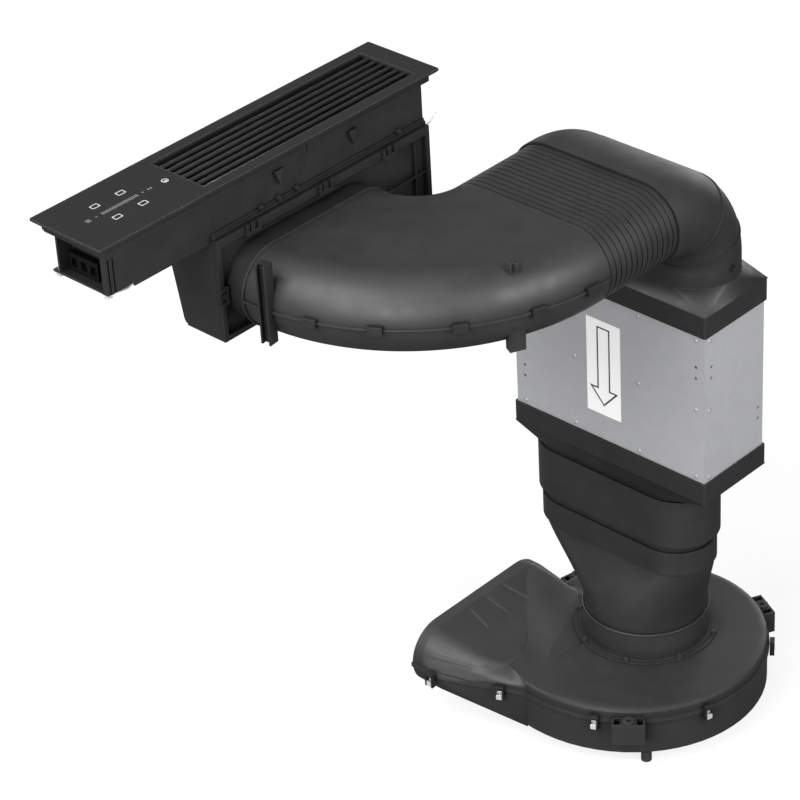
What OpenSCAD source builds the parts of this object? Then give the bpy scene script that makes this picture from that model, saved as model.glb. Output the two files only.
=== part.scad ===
// Downdraft vent: a worktop extractor unit, a flat duct with two bends, an air cleaning box
// and a plinth fan. The origin is the centre of the cover plate's lower face, on the worktop.

/* [Cover plate] */
// Width of the cover plate
plate_w = 110; // [106:1:120]
// Length of the cover plate
plate_l = 515; // [500:1:560]
// Thickness of the glass top
glass_t = 2.5; // [2:0.5:4]
// Thickness of the carrier sheet, whose lower face rests on the worktop
carrier_t = 1.5; // [1:0.5:3]
// Corner radius of the glass
plate_r = 2; // [1:0.5:6]

/* [Air inlet] */
// Width of the air inlet
inlet_w = 82; // [76:1:84]
// Length of the air inlet
inlet_l = 327; // [300:1:327]
// Number of slats in the inlet grille
slat_count = 7; // [5:1:9]
// Height of the inlet grille
grille_h = 11.5; // [8:0.5:11.5]
// Depth of the grease filter below its rim
filter_h = 46; // [30:1:56]

/* [Extraction unit] */
// Depth of the mounting frame under the plate
frame_h = 13; // [13:1:18]
// Width of the housings under the frame
body_w = 77; // [70:1:84]
// Depth of the control housing under the worktop
control_h = 62; // [50:1:66]
// Length of the suction tower
tower_l = 334; // [334:1:345]
// Depth of the suction tower under the worktop
tower_h = 183; // [180:1:220]
// Width of the tower at its foot
tower_foot_w = 56; // [44:1:64]
// Wall thickness of the moulded housings
wall = 3; // [2:0.5:3.5]
// Depth of the duct flange on the side of the tower
flange_t = 9; // [7:0.5:14]

/* [Flat duct] */
// Outer width of the flat duct
duct_w = 237; // [180:1:245]
// Outer height of the flat duct
duct_h = 96; // [80:1:96]
// Wall thickness of the ducts
duct_t = 3; // [2:0.5:3.5]
// Depth of the duct's middle under the worktop
duct_drop = 126; // [122:1:126]
// Inner radius of the horizontal bend
bend_r = 40; // [25:1:90]
// Length of the ribbed duct
ribbed_l = 123; // [90:1:260]
// Number of grooves in the ribbed duct
groove_count = 14; // [6:1:20]
// Inner radius of the vertical bend
drop_r = 30; // [12:1:60]

/* [Air cleaning box] */
// Width of the steel box
box_w = 288; // [270:1:330]
// Depth of the steel box from front to back
box_d = 109; // [106:1:140]
// Height of steel between the two caps
box_h = 200; // [150:1:320]
// Sheet thickness of the box
sheet_t = 1.2; // [0.8:0.1:2]
// Height of the lower cap's funnel
funnel_h = 28; // [20:1:60]

/* [Fan] */
// Length of the flat sleeve under the box
sleeve_l = 66; // [40:1:140]
// Height of the transition from flat to round
transition_h = 87; // [70:1:160]
// Outer diameter of the round collar on the fan
collar_d = 157; // [140:0.5:170]
// Height of the scroll
scroll_h = 68; // [62:1:80]
// Radius of the scroll where it starts
scroll_r0 = 133; // [126:1:150]
// Growth of the scroll radius over a full turn
scroll_rise = 113; // [80:1:120]
// Outer width of the fan outlet
outlet_w = 237; // [200:1:245]
// Outer height of the fan outlet
outlet_h = 87; // [80:1:96]
// Radius of the impeller
impeller_r = 104; // [95:1:110]
// Number of impeller blades
blade_count = 11; // [7:1:15]

/* [Hidden] */
$fn = 48;

// Clearance of parts that fit together, and overrun of a cut
gap = 0.3;
cut = 1;

// Colours
black = [0.10, 0.10, 0.105];
charcoal = [0.18, 0.185, 0.19];
dark_grey = [0.24, 0.245, 0.25];
steel = [0.62, 0.63, 0.635];
bright = [0.80, 0.81, 0.82];
board_green = [0.10, 0.26, 0.18];

// Extraction unit: margins of the frame inside the plate, then its faces
carrier_margin = 1.5;
frame_margin = 7;
frame_end_margin = 9;
tower_end_margin = 23.5;
control_end_margin = 10.5;
frame_w = plate_w - 2 * frame_margin;
frame_l = plate_l - 2 * frame_end_margin;
plate_t = glass_t + carrier_t;
unit_right = frame_w / 2;
unit_left = unit_right - body_w;
tower_y1 = plate_l / 2 - tower_end_margin;
tower_y0 = tower_y1 - tower_l;
tower_y = (tower_y0 + tower_y1) / 2;
control_y0 = -plate_l / 2 + control_end_margin;
ledge_t = 3;
ledge_w = 3;
frame_bottom = -frame_h + ledge_t;

// Flat duct: the port in the tower, then the corner points of the run
port_shift = 36.5;
port_y = tower_y - port_shift;
port_z = -duct_drop;
neck_l = 24;
spigot_l = 18;
spigot_t = 2.2;
bead_t = 2.5;
bead_l = 3;
shoulder_t = 2;
flange_x = unit_right + flange_t;
bend_x = flange_x + neck_l;
bend_y = port_y + duct_w / 2 + bend_r;
duct_x = bend_x + bend_r + duct_w / 2;
drop_y0 = bend_y + ribbed_l;

// Sockets: the outer size of a collar that takes a duct, and the lap
socket_t = 3;
collar_lip_l = 6;
socket_w = duct_w + 2 * gap + 2 * socket_t;
socket_h = duct_h + 2 * gap + 2 * socket_t;
socket_run = 5;
drop_yc = drop_y0 + socket_run;
drop_z0 = port_z - drop_r - socket_h / 2;
duct_y = drop_yc + drop_r + socket_h / 2;

// Air cleaning box
cap_offset = 18.1;
box_x = duct_x - cap_offset;
cap_collar_l = 19;
cap_slope_h = 20.3;
cap_band_h = 28.2;
cap_t = 3;
cap_r = 3;
box_lap = 13;
cap_w = box_w + 2 * cap_t;
cap_d = box_d + 2 * cap_t;
cap_z1 = drop_z0 - cap_collar_l;
cap_z2 = cap_z1 - cap_slope_h;
box_z1 = cap_z2 - cap_band_h;
box_z0 = box_z1 - box_h;
base_band_h = 27.5;
base_z1 = box_z0 - base_band_h;
base_z0 = base_z1 - funnel_h;
base_spigot_l = 20;

// Sleeve, transition and fan
sleeve_shift = 16.5;
sleeve_x = box_x - sleeve_shift;
sleeve_wall = 3;
sleeve_w = duct_w + 20;
sleeve_h = duct_h + 6;
sleeve_top_gap = 2;
band_w = duct_w + 10;
band_h = duct_h + 4;
sleeve_z1 = base_z0 - sleeve_top_gap;
sleeve_z0 = sleeve_z1 - sleeve_l;
sleeve_foot_gap = 10.5;
sleeve_foot_l = 32;
transition_z1 = sleeve_z0 - sleeve_foot_gap;
transition_band_h = 32;
loft_z1 = transition_z1 - transition_band_h;
loft_z0 = loft_z1 - transition_h;
loft_inset = 2.5;
round_spigot_l = 22;
fan_shift = 25.8;
fan_x = sleeve_x + fan_shift;
fan_y = duct_y;
collar_wall = 1.9;
collar_h = 34;
collar_z1 = loft_z0 - 4 * cut;
fan_z1 = collar_z1 - collar_h - ledge_t;
fan_z0 = fan_z1 - scroll_h;
shell_t = 3;

// A flat duct's outline: a strip with round ends
module stadium(w, h) {
    square([w - h, h], center = true);
    for (side = [-1, 1])
        translate([side * (w - h) / 2, 0]) circle(d = h);
}

module stadium_ring(w, h, t) {
    difference() {
        stadium(w, h);
        stadium(w - 2 * t, h - 2 * t);
    }
}

module rounded(w, l, r) {
    square([w - 2 * r, l], center = true);
    square([w, l - 2 * r], center = true);
    for (sx = [-1, 1], sy = [-1, 1])
        translate([sx * (w / 2 - r), sy * (l / 2 - r)]) circle(r = r);
}

// An outline drawn across X, run along +X or +Y
module along_x(length) {
    rotate([90, 0, 90]) linear_extrude(length) children();
}

module along_y(length) {
    translate([0, length, 0]) rotate([90, 0, 0]) linear_extrude(length) children();
}

// A block between two corners
module block(low, high) {
    translate(low) cube(high - low);
}

// Cover plate and frame
module cover_plate() {
    color(black)
        translate([0, 0, carrier_t]) linear_extrude(glass_t) difference() {
            rounded(plate_w, plate_l, plate_r);
            translate([0, tower_y]) square([inlet_w, inlet_l], center = true);
        }
}

window_w = 56;
window_l = 130;
window_inset = 83.5;
window_y = -plate_l / 2 + window_inset;

module plate_carrier() {
    color(charcoal)
        linear_extrude(carrier_t) difference() {
            rounded(plate_w - 2 * carrier_margin, plate_l - 2 * carrier_margin, plate_r);
            translate([0, tower_y]) square([inlet_w, inlet_l], center = true);
            translate([0, window_y]) square([window_w, window_l], center = true);
        }
}

board_t = 1.4;
display_w = 22;
display_l = 74;
display_t = 5;
key_size = 7;
key_pitch_x = 35;
key_pitch_y = 37;
key_shift = 5;

module touch_board() {
    color(board_green) {
        translate([0, window_y, carrier_t - board_t])
            linear_extrude(board_t) square([window_w - 2 * gap, window_l - 2 * gap], center = true);
        translate([0, window_y - key_shift, carrier_t - board_t - display_t])
            linear_extrude(display_t) rounded(display_w, display_l, plate_r);
        for (sx = [-1, 1], sy = [-1, 1])
            translate([sx * key_pitch_x / 2, window_y - key_shift + sy * key_pitch_y / 2,
                carrier_t - board_t - display_t])
                linear_extrude(display_t) square(key_size, center = true);
    }
}

frame_bar = 5;
opening_w = inlet_w + 2 * gap;
opening_l = inlet_l + 2 * gap;

module mounting_frame() {
    open_y0 = control_y0 + frame_bar;
    open_y1 = tower_y - opening_l / 2 - frame_bar;
    color(black)
        translate([0, 0, frame_bottom]) linear_extrude(-frame_bottom) difference() {
            rounded(frame_w, frame_l, plate_r);
            translate([0, tower_y]) square([opening_w, opening_l], center = true);
            translate([unit_left + frame_bar, open_y0])
                square([body_w - 2 * frame_bar, open_y1 - open_y0]);
        }
}

// Inlet grille: a thin frame with rounded slats and two cross bars
grille_wall = 2;
slat_w = 4.6;
slat_foot_w = 2.4;
grille_drop = 0.5;
bar_h = 4;
bar_w = 3;
rim_t = 1.2;
grille_z0 = frame_bottom + rim_t + 2 * gap;

module slat_outline() {
    circle(d = slat_w);
    polygon([[-slat_w / 2, 0], [-slat_foot_w / 2, -grille_h + slat_w / 2],
        [slat_foot_w / 2, -grille_h + slat_w / 2], [slat_w / 2, 0]]);
}

module inlet_grille() {
    outer_w = inlet_w - 2 * gap;
    outer_l = inlet_l - 2 * gap;
    pitch = (outer_w - grille_wall) / slat_count;
    top = grille_z0 + grille_h;
    color(black) {
        translate([0, tower_y, grille_z0]) linear_extrude(grille_h) difference() {
            square([outer_w, outer_l], center = true);
            square([outer_w - 2 * grille_wall, outer_l - 2 * grille_wall], center = true);
        }
        for (i = [1 : slat_count - 1])
            translate([-outer_w / 2 + grille_wall / 2 + i * pitch, tower_y - outer_l / 2 + cut,
                top - slat_w / 2])
                along_y(outer_l - 2 * cut) slat_outline();
        for (side = [-1, 1])
            translate([-outer_w / 2 + cut, tower_y + side * outer_l / 6 - bar_w / 2, grille_z0])
                cube([outer_w - 2 * cut, bar_w, bar_h]);
    }
}

// Grease filter: a V trough of two mesh panels between end plates, hung by its rim
filter_slack = 1.5;
filter_rim_z = frame_bottom + gap;
filter_foot_w = 16;
mesh_t = 3;
end_t = 1.5;
filter_w = opening_w - 2 * gap - 2 * ledge_w - 2 * filter_slack;
filter_l = opening_l - 2 * gap - 2 * ledge_w - 2 * filter_slack;
foot_x = (unit_right + unit_left) / 2;
filter_z0 = filter_rim_z - filter_h;
keel_w = filter_foot_w - 2 * end_t - 2 * mesh_t - 4 * gap;

module filter_end() {
    polygon([[-filter_w / 2, filter_rim_z], [filter_w / 2, filter_rim_z],
        [foot_x + filter_foot_w / 2, filter_z0], [foot_x - filter_foot_w / 2, filter_z0]]);
}

module filter_frame() {
    color(steel) {
        translate([0, tower_y, filter_rim_z]) linear_extrude(rim_t) difference() {
            square([inlet_w - 2 * gap, inlet_l - 2 * gap], center = true);
            square([filter_w - 2 * mesh_t - 2 * gap, filter_l - 2 * end_t], center = true);
        }
        for (y = [tower_y - filter_l / 2, tower_y + filter_l / 2 - end_t])
            translate([0, y, 0]) along_y(end_t) filter_end();
        translate([foot_x - filter_foot_w / 2, tower_y - filter_l / 2, filter_z0])
            cube([filter_foot_w, filter_l, end_t]);
        translate([foot_x - keel_w / 2, tower_y - filter_l / 2, filter_z0])
            cube([keel_w, filter_l, mesh_t + end_t]);
    }
}

slot_w = 5;
slot_pitch = 12;

module mesh_panel(side) {
    top_x = side * (filter_w / 2 - mesh_t);
    low_x = foot_x + side * (filter_foot_w / 2 - end_t - gap);
    top_z = filter_rim_z - gap;
    low_z = filter_z0 + end_t + gap;
    slots = floor((filter_l - 4 * slot_w) / slot_pitch);
    difference() {
        translate([0, tower_y - filter_l / 2 + end_t + gap, 0]) along_y(filter_l - 2 * end_t - 2 * gap)
            polygon([[low_x, low_z], [top_x, top_z], [top_x - side * mesh_t, top_z],
                [low_x - side * mesh_t, low_z]]);
        for (i = [0 : slots - 1])
            translate([0, tower_y + (i - (slots - 1) / 2) * slot_pitch - slot_w / 2, low_z + mesh_t])
                block([-plate_w, 0, 0], [plate_w, slot_w, top_z - low_z - 2 * mesh_t]);
    }
}

module filter_mesh() {
    color(bright) for (side = [-1, 1]) mesh_panel(side);
}

// Suction tower: a funnel that leans in to its foot, open below for the tray
tray_t = 2;
tray_wall_h = 7;
tray_slack = 0.6;
throat_margin = 4;
corner_r = 11;
corner_a = 180 + asin((corner_r - tray_t - gap) / corner_r);
tower_z0 = -tower_h + tray_t + gap;
tower_left = unit_right - tower_foot_w;

function arc(cx, cy, r, a0, a1, n) = [for (i = [0 : n]) let (a = a0 + (a1 - a0) * i / n)
    [cx + r * cos(a), cy + r * sin(a)]];

function tower_outline(inset, low) = concat(
    [[unit_right - inset, -frame_h + ledge_t], [unit_right - inset, low]],
    low < -tower_h / 2 ? [[tower_left + corner_r, low]] : [],
    arc(tower_left + corner_r, -tower_h + corner_r, corner_r - inset, corner_a, 180, 5),
    [[unit_left + inset, -control_h], [-frame_w / 2 + throat_margin / 2 + inset, -frame_h],
    [-frame_w / 2 + throat_margin / 2 + inset, -frame_h + ledge_t]]);

gusset_w = 13;
gusset_h = 17;
gusset_d = 5;
gusset_shares = [0.31, 0.655];
gusset_top = -16;
hook_shares = [0.452, 0.515];
hook_t = 1.2;
hook_top = -3;
hook_low = -18;
wire_r = 0.8;
wire_z = -64;
wire_x = unit_right - 2 * wall;

module gusset() {
    rotate([90, 0, 90]) linear_extrude(gusset_d)
        polygon([[-gusset_w / 2, 0], [gusset_w / 2, 0], [0, -gusset_h]]);
}

module suction_tower() {
    color(charcoal) difference() {
        union() {
            translate([0, tower_y0, 0]) along_y(tower_l) polygon(tower_outline(0, tower_z0));
            for (share = gusset_shares) translate([unit_right, tower_y0 + share * tower_l, gusset_top])
                gusset();
            block([unit_right, tower_y0 + hook_shares[0] * tower_l, hook_low],
                [unit_right + hook_t, tower_y0 + hook_shares[1] * tower_l, hook_top]);
        }
        translate([0, tower_y0 + wall, 0]) along_y(tower_l - 2 * wall) intersection() {
            polygon(tower_outline(wall, tower_z0 - cut));
            translate([-plate_w, -tower_h * 2]) square([2 * plate_w, 2 * tower_h - frame_h]);
        }
        translate([0, tower_y, -frame_h - cut]) linear_extrude(frame_h)
            square([opening_w - 2 * ledge_w, opening_l - 2 * ledge_w], center = true);
        translate([unit_right - wall - cut, port_y, port_z]) along_x(wall + 2 * cut)
            stadium(duct_w - 2 * duct_t, duct_h - 2 * duct_t);
        translate([wire_x, tower_y1 - wall - cut, wire_z]) rotate([-90, 0, 0])
            cylinder(r = wire_r + gap / 3, h = wall + 2 * cut);
    }
}

module collecting_tray() {
    tray_left = tower_left + corner_r / 2;
    trough_x0 = tower_left + corner_r + tray_slack;
    trough_x1 = unit_right - wall - tray_slack;
    color(charcoal) difference() {
        union() {
            block([tray_left, tower_y0, -tower_h], [unit_right - gap, tower_y1, -tower_h + tray_t]);
            block([trough_x0, tower_y0 + wall + tray_slack, -tower_h + tray_t / 2],
                [trough_x1, tower_y1 - wall - tray_slack, -tower_h + tray_t + tray_wall_h]);
        }
        block([trough_x0 + tray_t, tower_y0 + wall + tray_slack + tray_t, -tower_h + tray_t],
            [trough_x1 - tray_t, tower_y1 - wall - tray_slack - tray_t,
                -tower_h + tray_t + tray_wall_h + cut]);
    }
}

// Control housing: a box with an open end, a stepped floor and a corner post
strap_w = 9;
strap_t = 1.2;
shank_r = 1.9;
strap_x = [unit_right - strap_w / 2 - cut, unit_left - strap_w / 2 + cut];
control_wall = 2.5;
recess_d = 22;
step_l = 37;
step_h = 4;
post_r = 3.2;
post_groove = 2;

module control_housing() {
    z0 = -control_h;
    y0 = control_y0;
    color(black) difference() {
        union() {
            block([unit_left, y0, z0], [unit_right, tower_y0, frame_bottom]);
            block([-frame_w / 2 + throat_margin / 2, y0, frame_bottom - ledge_t],
                [unit_right, tower_y0, frame_bottom]);
            block([unit_left - strap_w, y0, z0 + step_h],
                [unit_left + control_wall, y0 + strap_w + cut, z0 + step_h + control_wall]);
        }
        for (x = strap_x)
            translate([x, y0 + strap_w / 2, z0]) cylinder(r = shank_r + gap / 3, h = 3 * step_h);
        block([unit_left + control_wall, y0 + recess_d, z0 + step_h + control_wall],
            [unit_right - control_wall, tower_y0 - control_wall, cut]);
        block([unit_left + control_wall, y0 - cut, z0 + step_h + control_wall],
            [unit_right - 3 * control_wall, y0 + recess_d - control_wall, frame_bottom - ledge_t]);
        block([unit_left - 2 * strap_w, y0 - cut, z0 - cut], [unit_right + cut, y0 + step_l, z0 + step_h]);
        block([unit_left + control_wall, y0 + step_l + control_wall, z0 + control_wall],
            [unit_right - control_wall, tower_y0 - control_wall, z0 + control_h / 2]);
        for (y = [y0 + post_r, y0 + 3 * post_r])
            block([unit_right - post_groove, y, z0 - cut],
                [unit_right + cut, y + post_groove, frame_bottom - 2 * ledge_t]);
    }
}

socket_w1 = 44;
socket_d = 9;
socket_z = 22;
pin_r = 1.4;
socket_pins = 3;

module socket_block() {
    x0 = unit_left + 3 * control_wall;
    y1 = control_y0 + recess_d - control_wall;
    z0 = -control_h + step_h + control_wall;
    color(black) difference() {
        block([x0, y1 - socket_d, z0], [x0 + socket_w1, y1, z0 + socket_z]);
        for (i = [0 : socket_pins - 1])
            translate([x0 + (i + 0.5) * socket_w1 / socket_pins, y1 - socket_d - cut, z0 + socket_z / 2])
                along_y(socket_d / 2 + cut)
                    rounded(socket_w1 / socket_pins - 4 * pin_r, socket_z / 2, pin_r);
    }
}

pcb_t = 1.6;
pcb_w = 60;
pcb_l = 90;
pcb_rest = 5;

module power_board() {
    z = -control_h + control_wall;
    y = control_y0 + step_l + 2 * control_wall + gap;
    color(board_green) {
        translate([foot_x, y + pcb_l / 2, z + pcb_rest]) linear_extrude(pcb_t)
            rounded(pcb_w, pcb_l, plate_r);
        for (sx = [-1, 1], sy = [0.1, 0.9])
            translate([foot_x + sx * pcb_w * 0.4, y + pcb_l * sy, z]) cylinder(r = post_r, h = pcb_rest);
    }
}

coil_size = 24;
coil_h = 17;
cap_can_r = 6;
cap_can_h = 20;

module board_parts() {
    z = -control_h + control_wall + pcb_rest + pcb_t;
    y = control_y0 + step_l + 2 * control_wall + gap;
    color(dark_grey) {
        translate([foot_x - pcb_w / 4, y + pcb_l / 3, z]) linear_extrude(coil_h)
            rounded(coil_size, coil_size, plate_r);
        for (i = [0 : 2])
            translate([foot_x + pcb_w / 4, y + pcb_l * (0.2 + 0.25 * i), z])
                cylinder(r = cap_can_r, h = cap_can_h);
        translate([foot_x - pcb_w / 4, y + pcb_l * 0.75, z]) linear_extrude(coil_h / 2)
            square([coil_size, coil_size * 0.8], center = true);
    }
}

// Worktop clamps at the near end: a bent strap on each side, held by a screw
strap_run = 20;
strap_drop = 3;
screw_r = 4.2;
screw_head_h = 3.2;
shank_l = 8;

module strap_outline() {
    end = 0.8 * strap_w + strap_w + strap_run;
    polygon([[0, 0], [strap_w, 0], [strap_w + strap_run, -strap_drop], [end, 0],
        [end, strap_t], [strap_w + strap_run, strap_t - strap_drop], [strap_w, strap_t], [0, strap_t]]);
}

module clamp_straps() {
    color(bright) for (x = strap_x)
        translate([x - strap_w / 2, control_y0, -control_h + step_h - gap - strap_t]) difference() {
            along_x(strap_w) strap_outline();
            translate([strap_w / 2, strap_w / 2, -cut])
                cylinder(r = shank_r + gap / 3, h = strap_t + 2 * cut);
        }
}

module clamp_screws() {
    top = -control_h + step_h - gap - strap_t;
    color(bright) for (x = strap_x)
        translate([x, control_y0 + strap_w / 2, top]) {
            translate([0, 0, -screw_head_h]) difference() {
                cylinder(r = screw_r, h = screw_head_h);
                translate([0, 0, -cut]) cylinder(r = screw_r / 2, h = cut + screw_head_h / 2);
            }
            translate([0, 0, -screw_head_h / 2]) cylinder(r = shank_r, h = shank_l);
        }
}

// Spring wire of the far end's clamp
wire_rise = 9;
wire_reach = 13;
wire_kick = 14;

module rod(a, b, r) {
    d = b - a;
    l = norm(d);
    translate(a) rotate([0, acos(d[2] / l), atan2(d[1], d[0])]) cylinder(r = r, h = l);
}

module end_spring() {
    p0 = [wire_x, tower_y1 - wall / 2, wire_z];
    p1 = [wire_x, tower_y1 + wall, wire_z];
    p2 = p1 + [0, wire_reach, -wire_rise / 4];
    p3 = p2 + [0, wire_kick, wire_rise];
    color(steel) {
        rod(p0, p1 + [0, wire_r / 2, 0], wire_r);
        rod(p1, p2 + [0, wire_r / 2, 0], wire_r);
        rod(p2, p3, wire_r);
    }
}

// Black guide rail along the tower's right face, with its pins
rail_t = 4;
rail_h = 6;
rail_lip = 2;
rail_z = -56.5;
pin_lift = 7.5;
pin_h = 5;
pin_head_r = 3.4;
pin_shares = [0.22, 0.301, 0.386, 0.87];

module guide_rail() {
    color(black) {
        block([unit_right, tower_y0, rail_z], [unit_right + rail_t, tower_y1, rail_z + rail_h / 2]);
        block([unit_right, tower_y0, rail_z], [unit_right + rail_lip, tower_y1, rail_z + rail_h]);
        for (share = pin_shares)
            translate([unit_right, tower_y0 + share * tower_l, rail_z + pin_lift]) rotate([0, 90, 0]) {
                cylinder(r = pin_head_r, h = pin_h);
                cylinder(r = pin_head_r / 2, h = pin_h + rail_lip);
            }
    }
}

// Duct flange: a framed panel on the tower's right face, with the port's neck
gasket_t = 1;
clip_w = 22;
clip_h = 13;
clip_t = 3;
clip_bar = 4;
clip_shares = [0.16, 0.495, 0.80];
peg_r = 1.6;
peg_l = 5;
border = 6;
border_top = 10;
panel_t = 2.5;
rib_t = 2;
flange_z1 = rail_z - gap * 2;
rib_y_share = 0.93;
rib_z_share = 0.45;

module duct_flange() {
    inner_y1 = tower_y1 - border;
    z0 = -tower_h;
    rib_y = tower_y0 + rib_y_share * tower_l;
    rib_z = flange_z1 - rib_z_share * (flange_z1 - z0);
    color(charcoal) difference() {
        union() {
            block([unit_right, tower_y0, z0], [unit_right + panel_t, tower_y1, flange_z1]);
            difference() {
                block([unit_right, tower_y0, z0], [flange_x, tower_y1, flange_z1]);
                block([unit_right, tower_y0 + border, z0 + border],
                    [flange_x + cut, inner_y1, flange_z1 - border_top]);
            }
            translate([unit_right, port_y, port_z]) along_x(bend_x - bead_l - gasket_t - unit_right)
                stadium(duct_w, duct_h);
            block([unit_right, rib_y, z0 + border / 2],
                [flange_x - rib_t, rib_y + rib_t, flange_z1 - border_top / 2]);
            block([unit_right, port_y + duct_w / 2 - duct_h / 8, rib_z - rib_t],
                [flange_x - rib_t, inner_y1 + cut, rib_z]);
        }
        translate([unit_right - cut, port_y, port_z]) along_x(bend_x - unit_right + 2 * cut)
            stadium(duct_w - 2 * duct_t, duct_h - 2 * duct_t);
        clip_places() translate([-peg_l - cut / 2, 0, 0]) rotate([0, 90, 0])
            cylinder(r = peg_r + gap / 3, h = peg_l + cut);
    }
}

// Clips on the flange's top strip and one on its near strip, each held by a peg in a bore
module clip_places() {
    for (share = clip_shares)
        translate([flange_x, tower_y0 + share * tower_l, flange_z1 - border_top / 2]) children();
    translate([flange_x, tower_y0 + 0.6 * border, port_z]) rotate([90, 0, 0]) children();
}

module u_clip() {
    along_x(clip_t) difference() {
        square([clip_w, clip_h], center = true);
        translate([0, clip_bar / 2 + cut / 2])
            square([clip_w - 2 * clip_bar, clip_h - clip_bar + cut], center = true);
    }
    along_x(clip_t / 2) square([clip_w - 4 * clip_bar, clip_h], center = true);
}

module flange_clips() {
    color(black) clip_places() {
        u_clip();
        translate([-peg_l, 0, 0]) rotate([0, 90, 0]) cylinder(r = peg_r, h = peg_l + clip_t / 2);
    }
}

module flange_gasket() {
    color(black) translate([bend_x - bead_l - gasket_t, port_y, port_z]) along_x(gasket_t)
        stadium_ring(duct_w, duct_h, duct_t);
}

// Horizontal bend: both shells are halves of one swept duct with a spigot at each end
inner_w = duct_w - 2 * duct_t;
inner_h = duct_h - 2 * duct_t;
mid_r = bend_r + duct_w / 2;
seam_r = bend_r + duct_w;
seam_h = 3;
seam_t = 2.5;

module spigot_ring() {
    stadium_ring(inner_w - 2 * gap, inner_h - 2 * gap, spigot_t);
}

module shoulder_ring(w, h) {
    stadium_ring(w, h, (w - inner_w) / 2 + gap + spigot_t);
}

module bend_sweep() {
    translate([bend_x, bend_y, port_z]) rotate([0, 0, -90]) rotate_extrude(angle = 90, $fn = 96) children();
}

module elbow_duct() {
    bend_sweep() translate([mid_r, 0]) stadium_ring(duct_w, duct_h, duct_t);
    bend_sweep() translate([seam_r - duct_t / 2, -seam_h / 2]) square([seam_t + duct_t / 2, seam_h]);
    translate([bend_x, port_y, port_z]) along_x(shoulder_t) shoulder_ring(duct_w - duct_t, duct_h - duct_t);
    translate([bend_x - bead_l, port_y, port_z]) along_x(bead_l)
        shoulder_ring(duct_w + 2 * bead_t, duct_h + 2 * bead_t);
    translate([bend_x - bead_l - spigot_l, port_y, port_z]) along_x(spigot_l) spigot_ring();
    translate([duct_x, bend_y - shoulder_t, port_z]) along_y(shoulder_t)
        shoulder_ring(duct_w - duct_t, duct_h - duct_t);
    translate([duct_x, bend_y, port_z]) along_y(spigot_l) spigot_ring();
}

module half_space(side) {
    reach = 3 * duct_w;
    translate([0, 0, side > 0 ? port_z : port_z - duct_h]) translate([-reach / 4, -reach / 2, 0])
        cube([reach, reach, duct_h]);
}

cross_size = 14;
cross_h = 15;
cross_inset = 24;
cross_r = seam_r - cross_inset;
cross_angle = -24;

module cross_bracket() {
    translate([bend_x, bend_y, port_z]) rotate(cross_angle) translate([cross_r, 0, duct_h / 4])
        for (a = [45, 135]) rotate(a)
            translate([-cross_size / 2, -rib_t / 2, 0]) cube([cross_size, rib_t, cross_h + duct_h / 8]);
}

module elbow_upper_shell() {
    color(dark_grey) {
        intersection() {
            elbow_duct();
            half_space(1);
        }
        difference() {
            cross_bracket();
            bend_sweep() translate([mid_r, 0]) stadium(duct_w - duct_t, duct_h - duct_t);
        }
    }
}

hanger_angle = -25;
hanger_arc = 4;
hanger_h = 26;
hanger_w = 12;

module elbow_lower_shell() {
    color(charcoal) {
        intersection() {
            elbow_duct();
            half_space(-1);
        }
        difference() {
            translate([bend_x, bend_y, port_z - duct_h / 2]) rotate([0, 0, hanger_angle - hanger_arc / 2])
                rotate_extrude(angle = hanger_arc, $fn = 96)
                    translate([seam_r - 1.5 * hanger_w, 0]) square([hanger_w, hanger_h]);
            bend_sweep() translate([mid_r, 0]) stadium(duct_w - duct_t, duct_h - duct_t);
        }
    }
}

seam_clip_arc = 3.2;
seam_clip_h = 11;
seam_clip_t = 3;
seam_clip_angles = [-72, -57, -38.5, -20.5, -6];

module seam_clip(r, side) {
    r0 = side > 0 ? r + gap : r - gap - seam_t - gap - seam_clip_t;
    difference() {
        translate([r0, -seam_clip_h / 2]) square([seam_t + gap + seam_clip_t, seam_clip_h]);
        translate([r0 - (side > 0 ? cut : -seam_clip_t), -seam_h / 2 - gap])
            square([seam_t + gap + cut, seam_h + 2 * gap]);
    }
}

module elbow_clips() {
    color(black) for (a = seam_clip_angles)
        translate([bend_x, bend_y, port_z]) rotate([0, 0, a - seam_clip_arc / 2])
            rotate_extrude(angle = seam_clip_arc, $fn = 96) seam_clip(seam_r, 1);
}

post_w = 13;
post_d = 9;
post_h = 98;
post_drop = 39;
post_angle = -83;
post_web = 2.2;

module elbow_post() {
    color(black) difference() {
        translate([bend_x, bend_y, port_z - post_drop]) rotate(post_angle)
            translate([seam_r - post_d / 2, -post_w / 2, 0]) difference() {
            cube([1.5 * post_d, post_w, post_h]);
            translate([post_d * 0.9, post_web, -cut])
                cube([post_d, post_w - 2 * post_web, post_h + 2 * cut]);
        }
        bend_sweep() translate([mid_r, 0]) stadium(duct_w + 2 * gap, duct_h + 2 * gap);
        bend_sweep() translate([seam_r - duct_t, -seam_h / 2 - gap])
            square([seam_t + duct_t + gap, seam_h + 2 * gap]);
    }
}

// Ribbed duct between the bends
groove_w = 1.8;
groove_d = 1.2;

module ribbed_duct() {
    length = ribbed_l;
    pitch = length / groove_count;
    color(dark_grey) translate([duct_x, bend_y, port_z]) difference() {
        along_y(length) stadium_ring(duct_w, duct_h, duct_t);
        for (i = [0 : groove_count - 1])
            translate([0, (i + 0.25) * pitch, 0]) along_y(groove_w) difference() {
                stadium(duct_w + 2 * cut, duct_h + 2 * cut);
                stadium(duct_w - 2 * groove_d, duct_h - 2 * groove_d);
            }
    }
}

// Vertical bend: swept in segments, with a collar over the ribbed duct and a tail in the cap
bead_angles = [42, 73];
bead_arc = 1.6;
bead_proud = 1.2;
tail_l = 12;

module drop_sweep(a) {
    translate([duct_x, drop_yc, drop_z0]) rotate([0, -90, 0]) rotate_extrude(angle = a, $fn = 96)
        children();
}

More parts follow.
